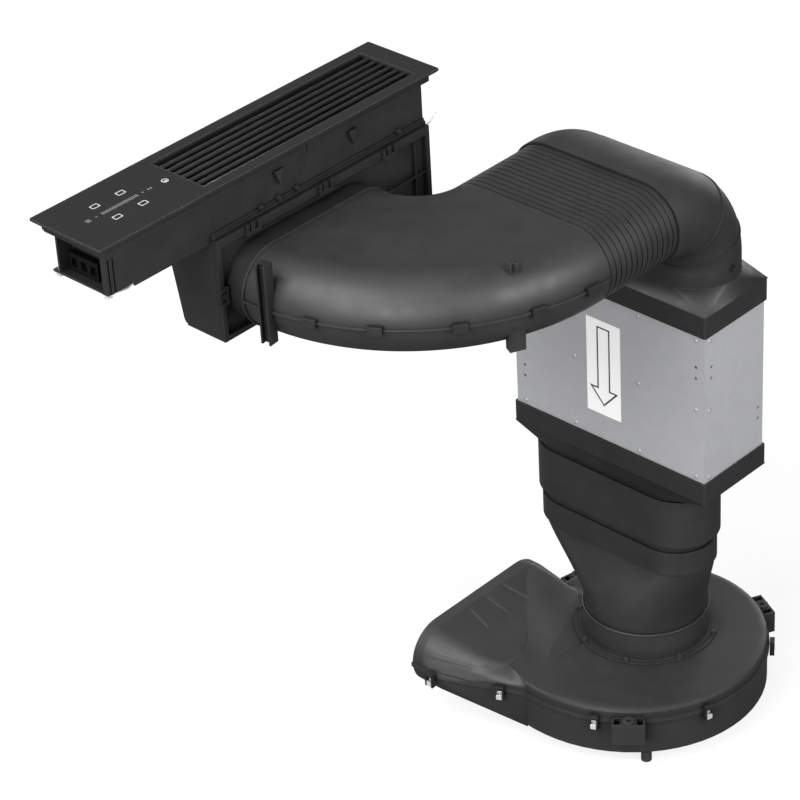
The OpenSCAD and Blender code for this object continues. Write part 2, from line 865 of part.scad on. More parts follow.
module vertical_elbow() {
    mid = drop_r + socket_h / 2;
    color(dark_grey) {
        drop_sweep(90) translate([mid, 0]) rotate(90) stadium_ring(socket_w, socket_h, socket_t);
        translate([duct_x, drop_yc, drop_z0]) for (a = bead_angles)
            rotate([0, -90, 0]) rotate([0, 0, a]) rotate_extrude(angle = bead_arc, $fn = 96)
                translate([mid, 0]) rotate(90)
                    stadium_ring(socket_w + 2 * bead_proud, socket_h + 2 * bead_proud,
                        bead_proud + socket_t / 2);
        translate([duct_x, drop_y0 - collar_lip_l, port_z]) along_y(collar_lip_l + socket_run)
            stadium_ring(socket_w, socket_h, socket_t);
        translate([duct_x, drop_y0, port_z]) along_y(shoulder_t)
            stadium_ring(socket_w, socket_h, (socket_w - inner_w) / 2);
        translate([duct_x, duct_y, drop_z0]) linear_extrude(shoulder_t)
            stadium_ring(socket_w - socket_t, socket_h - socket_t, (socket_w - socket_t - inner_w) / 2);
        translate([duct_x, duct_y, drop_z0 - tail_l]) linear_extrude(tail_l)
            stadium_ring(duct_w, duct_h, duct_t);
    }
}

// Air cleaning box: plastic caps over a steel shell of two bent sheets
module frustum(w0, d0, x0, z0, w1, h1, x1, z1) {
    hull() {
        translate([x0, duct_y, z0]) linear_extrude(gap) square([w0, d0], center = true);
        translate([x1, duct_y, z1 - gap]) linear_extrude(gap) stadium(w1, h1);
    }
}

module box_top_cap() {
    steel_top = box_z1 + box_lap;
    throat_z = drop_z0 - tail_l;
    color(dark_grey) difference() {
        union() {
            translate([duct_x, duct_y, cap_z1]) linear_extrude(cap_collar_l) stadium(socket_w, socket_h);
            frustum(cap_w, cap_d, box_x, cap_z2, socket_w, socket_h, duct_x, cap_z1 + gap);
            translate([box_x, duct_y, box_z1]) linear_extrude(cap_band_h) rounded(cap_w, cap_d, cap_r);
            translate([duct_x + socket_w / 2 - cut, duct_y - tab_w / 2, drop_z0 - tab_t])
                cube([tab_w, tab_w, tab_t]);
        }
        translate([duct_x, duct_y, throat_z]) linear_extrude(tail_l + cut)
            stadium(duct_w + 2 * gap, duct_h + 2 * gap);
        translate([duct_x, duct_y, cap_z1 - cut]) linear_extrude(cap_collar_l) stadium(inner_w, inner_h);
        frustum(box_w - 4 * cap_t, box_d - 2 * cap_t, box_x, cap_z2, inner_w, inner_h, duct_x, cap_z1);
        translate([box_x, duct_y, cap_z2 - cap_band_h]) linear_extrude(cap_band_h + gap)
            square([box_w - 4 * cap_t, box_d - 2 * cap_t], center = true);
        translate([box_x, duct_y, box_z1 - cut]) linear_extrude(box_lap + cut)
            square([box_w + 2 * gap, box_d + 2 * gap], center = true);
    }
}

tab_w = 7;
tab_t = 3;
flange_w = 20;
hole_r = 2;
hole_pitch = 15;
steel_z0 = box_z0 - box_lap;
steel_h = box_h + 2 * box_lap;
rivet_r = 1.6;
rivet_head_r = 3;
rivet_head_h = 1.1;
rivet_inset = 13;
side_inset = 9;
pair_high_share = 0.78;
pair_low_share = 0.28;
corner_shares = [0.03, 0.49, 0.96];
middle_xs = [-0.18, 0.16];
middle_shares = [0.03, 0.50, 0.96];

// Rivet places on the front sheet as [x, z], then on a side sheet as [y, z]
front_rivets = concat(
    [for (sx = [-1, 1], share = corner_shares) [sx * (box_w / 2 - rivet_inset), box_z0 + share * box_h]],
    [for (mx = middle_xs, share = middle_shares) [mx * box_w, box_z0 + share * box_h]]);
side_rivets = [for (share = corner_shares) [-box_d / 2 + side_inset, box_z0 + share * box_h]];
front_holes = [for (k = [0, 1]) each [
    [box_w / 2 - rivet_inset, box_z0 + pair_high_share * box_h - k * hole_pitch],
    [-box_w / 2 + rivet_inset, box_z0 + pair_low_share * box_h - k * hole_pitch]]];
side_holes = [for (k = [0, 1]) each [
    [-box_d / 2 + side_inset + rivet_inset / 4, box_z0 + pair_high_share * box_h - k * hole_pitch],
    [box_d / 2 - side_inset, box_z0 + pair_low_share * box_h - k * hole_pitch]]];

module front_bores(points, r, depth) {
    for (p = points)
        translate([box_x + p[0], duct_y - box_d / 2 - cut, p[1]]) rotate([-90, 0, 0])
            cylinder(r = r, h = depth + cut);
}

module side_bores(points, r, depth) {
    for (p = points, side = [-1, 1])
        translate([box_x + side * (box_w / 2 + cut), duct_y + p[0], p[1]]) rotate([0, -side * 90, 0])
            cylinder(r = r, h = depth + cut);
}

module box_rear_shell() {
    color(steel) difference() {
        translate([box_x, duct_y, steel_z0]) linear_extrude(steel_h) difference() {
            translate([-box_w / 2, -box_d / 2 + sheet_t]) square([box_w, box_d - sheet_t]);
            translate([-box_w / 2 + sheet_t, -box_d / 2 + 2 * sheet_t])
                square([box_w - 2 * sheet_t, box_d - 3 * sheet_t]);
            translate([-box_w / 2 + flange_w, -box_d / 2]) square([box_w - 2 * flange_w, box_d / 2]);
        }
        front_bores(concat(front_rivets, front_holes), rivet_r + gap / 3, 3 * sheet_t);
        side_bores(side_rivets, rivet_r + gap / 3, 2 * sheet_t);
        side_bores(side_holes, hole_r, 2 * sheet_t);
    }
}

module box_front_panel() {
    color(steel) difference() {
        translate([box_x, duct_y - box_d / 2 + sheet_t / 2, steel_z0]) linear_extrude(steel_h)
            square([box_w, sheet_t], center = true);
        front_bores(front_rivets, rivet_r + gap / 3, 2 * sheet_t);
        front_bores(front_holes, hole_r, 2 * sheet_t);
    }
}

module rivet(length) {
    cylinder(r = rivet_r, h = length);
    rotate_extrude() intersection() {
        translate([0, -(rivet_head_r * rivet_head_r - rivet_head_h * rivet_head_h) / (2 * rivet_head_h)])
            circle(r = (rivet_head_r * rivet_head_r + rivet_head_h * rivet_head_h) / (2 * rivet_head_h),
                $fn = 96);
        square([rivet_head_r, rivet_head_h]);
    }
}

module box_rivets() {
    color(bright) {
        for (p = front_rivets)
            translate([box_x + p[0], duct_y - box_d / 2, p[1]]) rotate([90, 0, 0]) {
                rivet(rivet_head_h / 2);
                translate([0, 0, -2 * sheet_t]) cylinder(r = rivet_r, h = 2 * sheet_t + rivet_head_h / 2);
            }
        for (p = side_rivets, side = [-1, 1])
            translate([box_x + side * box_w / 2, duct_y + p[0], p[1]]) rotate([0, side * 90, 0]) {
                rivet(rivet_head_h / 2);
                translate([0, 0, -sheet_t]) cylinder(r = rivet_r, h = sheet_t + rivet_head_h / 2);
            }
    }
}

// Carbon cassettes stand side by side in a steel rack, with air gaps between them
cassette_count = 4;
cassette_t = 16;
cassette_frame = 5;
rack_t = 1.2;
rack_z0 = box_z0 + 6;
rack_room = 44;
rack_h = box_h - rack_room;

module carbon_filters() {
    pitch = (box_d - 2 * sheet_t - cassette_t - 2 * rack_w) / (cassette_count - 1);
    length = box_w - 2 * sheet_t - 2 * rack_w;
    color(black) for (i = [0 : cassette_count - 1])
        translate([box_x, duct_y + (i - (cassette_count - 1) / 2) * pitch, rack_z0 + rack_t]) {
            translate([0, 0, rack_h / 2])
                cube([length - 2 * gap, cassette_t - cassette_frame, rack_h - cassette_frame],
                    center = true);
            translate([-length / 2 + gap, -cassette_t / 2, 0]) difference() {
                cube([length - 2 * gap, cassette_t, rack_h]);
                translate([cassette_frame, -cut, cassette_frame])
                    cube([length - 2 * gap - 2 * cassette_frame, cassette_t + 2 * cut,
                        rack_h - 2 * cassette_frame]);
            }
        }
}

rack_w = 6;

module filter_rack() {
    length = box_w - 2 * sheet_t - 2 * gap;
    depth = box_d - 3 * sheet_t - 2 * gap;
    color(steel) translate([box_x, duct_y + sheet_t / 2, rack_z0 - gap]) difference() {
        union() {
            linear_extrude(rack_t) square([length, depth], center = true);
            for (side = [-1, 1])
                translate([side * (length / 2 - rack_t / 2) - rack_t / 2, -depth / 2, 0])
                    cube([rack_t, depth, rack_h]);
        }
        for (i = [0 : cassette_count - 2])
            translate([0, (i - (cassette_count - 2) / 2) * depth / cassette_count, -cut])
                linear_extrude(rack_t + 2 * cut) rounded(length - 4 * rack_w, rack_w, rack_w / 3);
    }
}

module box_bottom_cap() {
    spigot_w = sleeve_w - 2 * sleeve_wall - 2 * gap;
    spigot_h = sleeve_h - 2 * sleeve_wall - 2 * gap;
    color(dark_grey) difference() {
        union() {
            translate([box_x, duct_y, base_z1]) linear_extrude(base_band_h) rounded(cap_w, cap_d, cap_r);
            hull() {
                translate([box_x, duct_y, base_z1]) linear_extrude(gap)
                    square([cap_w, cap_d], center = true);
                translate([sleeve_x, duct_y, base_z0]) linear_extrude(gap)
                    stadium(spigot_w + 2 * gap, spigot_h + 2 * gap);
            }
            translate([sleeve_x, duct_y, base_z0 - base_spigot_l - sleeve_top_gap])
                linear_extrude(base_spigot_l + sleeve_top_gap + gap)
                stadium(spigot_w, spigot_h);
        }
        translate([box_x, duct_y, box_z0 - box_lap]) linear_extrude(box_lap + cut)
            square([box_w + 2 * gap, box_d + 2 * gap], center = true);
        hull() {
            translate([box_x, duct_y, base_z1 + cap_t]) linear_extrude(base_band_h - box_lap)
                square([box_w - 4 * cap_t, box_d - 2 * cap_t], center = true);
            translate([sleeve_x, duct_y, base_z0]) linear_extrude(gap)
                stadium(spigot_w - 2 * cap_t - 4 * gap, spigot_h - 2 * cap_t - 4 * gap);
        }
        translate([sleeve_x, duct_y, base_z0 - base_spigot_l - sleeve_top_gap - cut])
            linear_extrude(base_spigot_l + sleeve_top_gap + cut + gap)
                stadium(spigot_w - 2 * cap_t, spigot_h - 2 * cap_t);
    }
}

module flat_sleeve() {
    foot_w = band_w - 2 * sleeve_wall - 2 * gap;
    foot_h = band_h - 2 * sleeve_wall - 2 * gap;
    color(dark_grey) translate([sleeve_x, duct_y, 0]) difference() {
        union() {
            translate([0, 0, sleeve_z0]) linear_extrude(sleeve_l) stadium(sleeve_w, sleeve_h);
            translate([0, 0, sleeve_z0 - sleeve_foot_l]) linear_extrude(sleeve_foot_l + cut)
                stadium(foot_w, foot_h);
        }
        translate([0, 0, sleeve_z0 + sleeve_wall]) linear_extrude(sleeve_l)
            stadium(sleeve_w - 2 * sleeve_wall, sleeve_h - 2 * sleeve_wall);
        translate([0, 0, sleeve_z0 - sleeve_foot_l - cut])
            linear_extrude(sleeve_foot_l + sleeve_wall + 2 * cut)
            stadium(foot_w - 2 * sleeve_wall, foot_h - 2 * sleeve_wall);
    }
}

// Transition from the flat sleeve to the round fan collar, blended by a formula
loft_rings = 10;
loft_sides = 40;
loft_skew = 0.8;
round_d = collar_d - 2 * collar_wall - 2 * gap;

function ease(t) = let (q = pow(t, loft_skew)) q * q * (3 - 2 * q);

function flat_point(a, w, h) = [sign(cos(a)) * (w - h) / 2 + h / 2 * cos(a), h / 2 * sin(a)];

function loft_ring(t, w, h, d) = let (s = ease(t)) [for (i = [0 : loft_sides - 1])
    let (a = (i + 0.5) * 360 / loft_sides, p = flat_point(a, w, h))
    [(1 - s) * (sleeve_x + p[0]) + s * (fan_x + d / 2 * cos(a)),
     duct_y + (1 - s) * p[1] + s * d / 2 * sin(a), loft_z1 + (loft_z0 - loft_z1) * t]];

function quads(a, b) = [for (i = [0 : loft_sides - 1]) let (j = (i + 1) % loft_sides)
    [a + i, a + j, b + j, b + i]];

module loft(w, h, d, over) {
    last = loft_rings * loft_sides;
    points = [for (k = [0 : loft_rings]) each loft_ring(k / loft_rings, w, h, d)];
    shifted = [for (i = [0 : len(points) - 1]) points[i]
        + [0, 0, i < loft_sides ? over : i >= last ? -over : 0]];
    faces = concat(
        [for (k = [0 : loft_rings - 1]) each quads((k + 1) * loft_sides, k * loft_sides)],
        [[for (i = [0 : loft_sides - 1]) i]],
        [[for (i = [0 : loft_sides - 1]) last + loft_sides - 1 - i]]);
    polyhedron(shifted, [for (f = faces) [for (i = [len(f) - 1 : -1 : 0]) f[i]]]);
}

module transition_piece() {
    body_w1 = band_w - 2 * loft_inset;
    body_h1 = band_h - 2 * loft_inset;
    color(dark_grey) difference() {
        union() {
            translate([sleeve_x, duct_y, loft_z1]) linear_extrude(transition_band_h)
                stadium(band_w, band_h);
            loft(body_w1, body_h1, (round_d + 2 * gap) / cos(180 / loft_sides), 0);
            translate([fan_x, duct_y, loft_z0 - round_spigot_l]) cylinder(d = round_d, h = round_spigot_l);
        }
        translate([sleeve_x, duct_y, loft_z1 + sleeve_wall]) linear_extrude(transition_band_h)
            stadium(band_w - 2 * sleeve_wall, band_h - 2 * sleeve_wall);
        translate([sleeve_x, duct_y, loft_z1 - cut / 2]) linear_extrude(transition_band_h)
            stadium(body_w1 - 2 * duct_t, body_h1 - 2 * duct_t);
        loft(body_w1 - 2 * duct_t - gap, body_h1 - 2 * duct_t - gap, round_d - 2 * duct_t - gap, cut / 2);
        translate([fan_x, duct_y, loft_z0 - round_spigot_l - cut])
            cylinder(d = round_d - 2 * duct_t, h = round_spigot_l + cut);
    }
}

module transition_gasket() {
    color(black) translate([sleeve_x, duct_y, loft_z1 + sleeve_wall]) linear_extrude(gasket_t)
        stadium_ring(band_w - 2 * sleeve_wall - 2 * gap, band_h - 2 * sleeve_wall - 2 * gap,
            sleeve_wall - gap);
}

// Round collar on the fan: a tube with a lip, on a flange ring with lugs
ring_w = 12;
ring_t = 3;
lip_r = 1.2;
collar_lugs = 8;
lug_r = 4.5;
screw_pcd = collar_d + ring_w + 2 * lug_r / 3;
collar_screw_r = 1.5;
pilot_h = 6;

module collar_screw_places() {
    for (i = [0 : collar_lugs - 1])
        translate([fan_x, fan_y, fan_z1]) rotate((i + 0.5) * 360 / collar_lugs)
            translate([screw_pcd / 2, 0, 0]) children();
}

module fan_collar() {
    tube_r = collar_d / 2;
    color(black) difference() {
        union() {
            translate([fan_x, fan_y, fan_z1]) {
                cylinder(r = tube_r, h = collar_h + ring_t, $fn = 96);
                cylinder(r = tube_r + ring_w / 2, h = ring_t, $fn = 96);
                cylinder(r = tube_r + ring_w, h = ring_t / 2, $fn = 96);
                translate([0, 0, collar_h + ring_t - lip_r]) rotate_extrude($fn = 96)
                    translate([tube_r, 0]) circle(r = lip_r, $fn = 24);
            }
            collar_screw_places() cylinder(r = lug_r, h = ring_t);
        }
        translate([fan_x, fan_y, fan_z1 - cut])
            cylinder(r = tube_r - collar_wall, h = collar_h + ring_t + 2 * cut, $fn = 96);
        collar_screw_places() translate([0, 0, -cut])
            cylinder(r = collar_screw_r + gap / 3, h = ring_t + 2 * cut);
    }
}

module collar_screws() {
    color(dark_grey) collar_screw_places() {
        translate([0, 0, -pilot_h / 2]) cylinder(r = collar_screw_r, h = pilot_h / 2 + ring_t);
        translate([0, 0, ring_t]) difference() {
            cylinder(r = lug_r * 0.6, h = ring_t / 2);
            translate([0, 0, ring_t / 4]) cylinder(r = collar_screw_r * 0.8, h = ring_t);
        }
    }
}

// Bellmouth that leads the air into the impeller's eye
cone_r = 72;
cone_h = 13;
bell_r = 6;

module inlet_cone() {
    tube_r = collar_d / 2 - collar_wall - gap;
    color(charcoal) translate([fan_x, fan_y, fan_z1]) rotate_extrude($fn = 96) difference() {
        translate([tube_r - bell_r, -bell_r - shell_t]) square([bell_r, bell_r + shell_t + ring_t]);
        translate([tube_r - bell_r - duct_t / 2, ring_t]) circle(r = bell_r, $fn = 48);
    }
}

// Fan housing: a scroll that grows with the angle, blended into a flat outlet
mouth_reach = 171.3;
mouth_shift = 126.3;
mouth_drop = 4.4;
split_drop = 16.5;
split_rise = 12;
mouth_x = fan_x - mouth_reach;
mouth_y = fan_y - mouth_shift;
mouth_z = fan_z1 - mouth_drop;
split_z = fan_z1 - split_drop;
mouth_l = 15;
mouth_low_l = 34;
root_a = -100;
root_margin = 22;
rim_r = 5;
scroll_steps = 56;
scroll_end = -118;

function scroll_r(a) = scroll_r0 + scroll_rise * max(0, 90 - a) / 360;

function scroll_points(inset) = [for (i = [0 : scroll_steps])
    let (a = 180 + (scroll_end - 180) * i / scroll_steps, r = scroll_r(a) - inset)
        [r * cos(a), r * sin(a)]];

module scroll(inset, low, high) {
    translate([fan_x, fan_y, low]) linear_extrude(high - low) polygon(scroll_points(inset));
}

// The outlet's root line on the scroll, from its near end to its far end
root_near = [scroll_r(root_a) * cos(root_a), scroll_r(root_a) * sin(root_a)];
root_far = [-collar_d / 2 - root_margin, outlet_w / 2 - mouth_shift];
root_turn = atan2(root_near[0] - root_far[0], root_far[1] - root_near[1]);
root_axis = [cos(root_turn), sin(root_turn)];
split_slope = split_rise / ((root_near - [-mouth_reach, -mouth_shift - outlet_w / 2]) * root_axis);

function split_at(p) = split_z + split_slope * max(0, (root_near - p) * root_axis);

module outlet(inset, over) {
    near = root_near + [0, inset];
    far = root_far - [0, inset];
    hull() {
        translate([mouth_x - over, mouth_y, mouth_z]) along_x(mouth_l + over)
            stadium(outlet_w - 2 * inset, outlet_h - 2 * inset);
        translate([mouth_x, mouth_y, mouth_z]) along_x(mouth_low_l) intersection() {
            stadium(outlet_w - 2 * inset, outlet_h - 2 * inset);
            translate([-outlet_w, -outlet_h - mouth_drop]) square([2 * outlet_w, outlet_h - mouth_drop]);
        }
        translate([fan_x, fan_y, fan_z0 + inset]) linear_extrude(scroll_h - 2 * inset)
            polygon([near - [shell_t, 0], near, far, far - [shell_t, 0]]);
    }
}

module fan_outer() {
    hull() {
        scroll(0, fan_z0 + rim_r / 2, fan_z1 - rim_r);
        scroll(rim_r / 4, fan_z1 - rim_r, fan_z1 - rim_r / 3);
        scroll(rim_r, fan_z0, fan_z1);
    }
    outlet(0, 0);
}

module fan_inner() {
    scroll(shell_t, fan_z0 + shell_t, fan_z1 - shell_t);
    outlet(shell_t, cut);
}

split_lip = 2.5;
split_h = 3;

// The space between two heights off the split, which bends up along the root line
module split_band(low, high) {
    translate([fan_x + root_near[0], fan_y + root_near[1], split_z]) rotate([0, 0, root_turn])
        translate([0, plate_l, 0]) rotate([90, 0, 0]) linear_extrude(2 * plate_l)
            polygon([[-plate_l, split_slope * plate_l + low], [0, low], [plate_l, low], [plate_l, high],
                [0, high], [-plate_l, split_slope * plate_l + high]]);
}

module split_rim(low) {
    intersection() {
        union() {
            scroll(-split_lip, fan_z0 + cut, fan_z1 - cut);
            outlet(-split_lip, 0);
        }
        split_band(low, low + split_h);
    }
}

line_l = 38;
line_w = 1.6;
line_h = 0.8;
line_angles = [-8, 3, 14];
line_pitch = 31;

module flow_lines() {
    intersection() {
        outlet(-line_h, 0);
        for (i = [0 : len(line_angles) - 1])
            translate([mouth_x + mouth_l, mouth_y + (i - 1) * line_pitch, split_z])
                rotate(line_angles[i]) translate([0, -line_w / 2, 0]) cube([line_l, line_w, outlet_h]);
    }
}

module fan_upper_shell() {
    color(dark_grey) difference() {
        union() {
            intersection() {
                fan_outer();
                split_band(0, 2 * outlet_h);
            }
            split_rim(0);
            flow_lines();
        }
        fan_inner();
        translate([fan_x, fan_y, fan_z1 - shell_t - cut])
            cylinder(r = collar_d / 2 - collar_wall, h = shell_t + 2 * cut, $fn = 96);
        collar_screw_places() translate([0, 0, -shell_t - cut])
            cylinder(r = collar_screw_r + gap / 3, h = shell_t + 2 * cut);
        for (a = lug_angles) at_rim(a, 0) translate([0, -mount_lug_w / 2 - gap, split_z - cut])
            cube([mount_lug_d, mount_lug_w + 2 * gap, split_h + 3 * cut]);
    }
}

// Mounting lugs on the lower shell's wall, with a bore for a rubber grommet
lug_angles = [-57.5, 56.5, 168];
mount_lug_w = 40;
mount_lug_d = 17;
mount_lug_h = 30;
lug_rise = 6;
grommet_lip = 2;
grommet_r = 6.5;
grommet_bore_r = 3.2;
lug_wall = 2.5;

module at_rim(a, out) {
    lean = a < 90 ? atan(scroll_rise / (2 * PI) / scroll_r(a)) : 0;
    translate([fan_x, fan_y, 0]) rotate(a) translate([scroll_r(a), 0, 0]) rotate(lean)
        translate([out, 0, 0]) children();
}

module lug_bodies() {
    for (a = lug_angles) at_rim(a, 0)
        translate([0, -mount_lug_w / 2, split_z + lug_rise - mount_lug_h]) difference() {
            union() {
                translate([-shell_t / 2, 0, 0])
                    cube([mount_lug_d + shell_t / 2, mount_lug_w, mount_lug_h - lug_rise]);
                translate([gap, 0, 0]) cube([mount_lug_d - gap, mount_lug_w, mount_lug_h]);
            }
            for (side = [0, 1])
                translate([lug_wall, side * (mount_lug_w / 2 + grommet_r + lug_wall / 2) + lug_wall, -cut])
                    cube([mount_lug_d - 2 * lug_wall, mount_lug_w / 2 - grommet_r - 2.5 * lug_wall,
                        mount_lug_h + 2 * cut]);
        }
}

module lug_centres() {
    for (a = lug_angles) at_rim(a, mount_lug_d / 2)
        translate([0, 0, split_z + lug_rise]) children();
}

foot_r = 6.6;
foot_h = 16;
foot_angles = [-50.5, 67, 175];

module fan_lower_shell() {
    color(charcoal) difference() {
        union() {
            intersection() {
                fan_outer();
                split_band(-2 * outlet_h, 0);
            }
            split_rim(-split_h);
            lug_bodies();
        }
        fan_inner();
        lug_centres() translate([0, 0, -mount_lug_h - cut])
            cylinder(r = grommet_r - gap, h = mount_lug_h + 2 * cut);
    }
}

module lug_grommets() {
    color(black) lug_centres() difference() {
        union() {
            cylinder(r = grommet_r + lug_wall / 2, h = grommet_lip);
            translate([0, 0, -mount_lug_h])
                cylinder(r = grommet_r - 2 * gap, h = mount_lug_h + grommet_lip);
        }
        translate([0, 0, -mount_lug_h - cut])
            cylinder(r = grommet_bore_r, h = mount_lug_h + grommet_lip + 2 * cut);
    }
}

module rubber_feet() {
    color(black) for (a = foot_angles) at_rim(a, foot_r / 2 - 2 * foot_r)
        translate([0, 0, fan_z0 - foot_h]) {
            cylinder(r = foot_r, h = foot_h - rim_r / 4);
            cylinder(r = foot_r * 0.8, h = foot_h);
        }
}

// Motor: a disc mount on the floor, a stator round the shaft, and a rotor cup that carries the wheel
mount_r = 60;
mount_t = 4;
shaft_r = 4;
shaft_play = 0.05;
stator_r = 38;
stator_h = 26;
stator_gap = 1;
cup_t = 3;
stator_z = fan_z0 + shell_t + mount_t;
cup_z1 = stator_z + stator_h + 2 * cup_t;
bearing_r = 11;

module motor_mount() {
    color(steel) translate([fan_x, fan_y, fan_z0 + shell_t]) difference() {
        cylinder(r = mount_r, h = mount_t);
        translate([0, 0, -cut]) cylinder(r = bearing_r, h = mount_t + 2 * cut);
        for (i = [0 : 3]) rotate(45 + 90 * i) translate([mount_r * 0.82, 0, -cut])
            cylinder(r = collar_screw_r + gap, h = mount_t + 2 * cut);
    }
}

module motor_stator() {
    color(dark_grey) translate([fan_x, fan_y, stator_z]) difference() {
        union() {
            cylinder(r = stator_r * 0.55, h = stator_h);
            for (i = [0 : 11]) rotate(30 * i) {
                translate([stator_r * 0.4, -stator_r * 0.06, cup_t])
                    cube([stator_r * 0.52, stator_r * 0.12, stator_h - 2 * cup_t]);
                translate([0, 0, cup_t]) intersection() {
                    difference() {
                        cylinder(r = stator_r, h = stator_h - 2 * cup_t);
                        translate([0, 0, -cut]) cylinder(r = stator_r * 0.88, h = stator_h);
                    }
                    translate([stator_r * 0.7, -stator_r * 0.17, 0])
                        cube([stator_r / 2, stator_r * 0.34, stator_h]);
                }
            }
        }
        translate([0, 0, -cut]) cylinder(r = shaft_r + shaft_play, h = stator_h + 2 * cut);
    }
}

module motor_shaft() {
    color(bright) translate([fan_x, fan_y, fan_z0 + shell_t + gap])
        cylinder(r = shaft_r, h = cup_z1 - cup_t - fan_z0 - shell_t - gap);
}

module rotor_cup() {
    cup_r = stator_r + stator_gap;
    color(steel) translate([fan_x, fan_y, 0]) difference() {
        translate([0, 0, stator_z + cup_t]) cylinder(r = cup_r + cup_t, h = cup_z1 - stator_z - cup_t);
        translate([0, 0, stator_z]) cylinder(r = cup_r, h = cup_z1 - stator_z - cup_t);
    }
}

// Impeller: backplate round the cup, swept-back blades and a conical shroud
back_t = 2;
blade_t = 2.2;
blade_curve_r = 78;
shroud_t = 2;
eye_r = 77;
wheel_z0 = stator_z + 2 * cup_t;
wheel_z1 = fan_z1 - shell_t - cone_h;

module blade() {
    root = stator_r + stator_gap + cup_t + cut;
    intersection() {
        difference() {
            circle(r = impeller_r - cut);
            circle(r = eye_r * 0.82);
        }
        translate([root * 0.75, -blade_curve_r]) difference() {
            circle(r = blade_curve_r + blade_t);
            circle(r = blade_curve_r);
            translate([-2 * blade_curve_r, -2 * blade_curve_r])
                square([4 * blade_curve_r, 2 * blade_curve_r]);
            translate([-2 * blade_curve_r, 0]) square([2 * blade_curve_r, 4 * blade_curve_r]);
        }
    }
}

module impeller() {
    bore = stator_r + stator_gap + cup_t;
    color(black) translate([fan_x, fan_y, 0]) {
        translate([0, 0, wheel_z0]) linear_extrude(back_t) difference() {
            circle(r = impeller_r, $fn = 96);
            circle(r = bore);
        }
        translate([0, 0, wheel_z0]) linear_extrude(wheel_z1 - wheel_z0 + shroud_t / 2)
            for (i = [0 : blade_count - 1]) rotate(i * 360 / blade_count) blade();
        translate([0, 0, wheel_z1]) rotate_extrude($fn = 96)
            polygon([[eye_r * 0.80, shroud_t * 2.5], [eye_r, 0], [impeller_r, 0], [impeller_r, shroud_t],
                [eye_r, shroud_t], [eye_r * 0.80 + shroud_t, shroud_t * 3]]);
    }
}

// Latch seats round the split line, each with a bright spring clip
latch_w = 12;
latch_d = 6;
latch_h = 20;
latch_angles = [-70.5, -25.5, 28.6, 179.4];
latch_share = 0.72;
clip_strip_t = 1;
clip_strip_w = 7;

latch_x = mouth_x + mouth_low_l;
mouth_latch = [latch_x - fan_x, -mouth_shift - outlet_w / 2];
wall_start = [mouth_low_l - mouth_reach, -mouth_shift - outlet_w / 2];
wall_latch = wall_start + latch_share * (root_near - wall_start);
mouth_side = (outlet_w - outlet_h) / 2
    + sqrt(pow(outlet_h / 2 + split_lip, 2) - pow(split_at(mouth_latch) - mouth_z, 2));

module latch_places() {
    wall_lean = atan2(root_near[1] - wall_start[1], root_near[0] - wall_start[0]);
    for (a = latch_angles) at_rim(a, split_lip + gap)
        translate([0, 0, split_at(scroll_r(a) * [cos(a), sin(a)])]) children();
    translate([latch_x, mouth_y - mouth_side - gap, split_at(mouth_latch)]) rotate(-90) children();
    translate([fan_x + wall_latch[0], fan_y + wall_latch[1], split_at(wall_latch)]) rotate(wall_lean - 90)
        translate([split_lip + gap, 0, 0]) children();
}

module shell_latches() {
    color(black) latch_places() translate([0, -latch_w / 2, -latch_h * 0.6]) difference() {
        cube([latch_d, latch_w, latch_h]);
        translate([-cut, (latch_w - clip_strip_w) / 2 - gap, -cut])
            cube([latch_d + 2 * cut, clip_strip_w + 2 * gap, latch_h * 0.8]);
    }
}

module spring_clips() {
    color(bright) latch_places() translate([gap, -clip_strip_w / 2, -latch_h * 0.55]) {
        cube([clip_strip_t, clip_strip_w, latch_h * 0.7]);
        cube([latch_d - 2 * gap, clip_strip_w, clip_strip_t]);
        translate([latch_d - 2 * gap - clip_strip_t, 0, 0]) cube([clip_strip_t, clip_strip_w, latch_h / 3]);
    }
}

cover_plate();
plate_carrier();
touch_board();
mounting_frame();
inlet_grille();
filter_frame();
filter_mesh();
suction_tower();
collecting_tray();
control_housing();
socket_block();
power_board();
board_parts();
clamp_straps();
clamp_screws();
end_spring();
guide_rail();
duct_flange();
flange_clips();
flange_gasket();
elbow_upper_shell();
elbow_lower_shell();
elbow_clips();
elbow_post();
ribbed_duct();
vertical_elbow();
box_top_cap();
box_rear_shell();
box_front_panel();
box_rivets();
carbon_filters();
filter_rack();
box_bottom_cap();
flat_sleeve();
transition_piece();
transition_gasket();
fan_collar();
collar_screws();
inlet_cone();
fan_upper_shell();
fan_lower_shell();
motor_mount();
motor_stator();
motor_shaft();
rotor_cup();
impeller();
shell_latches();
spring_clips();
lug_grommets();
rubber_feet();
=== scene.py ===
import math

import bmesh
import bpy
from mathutils import Matrix, Vector


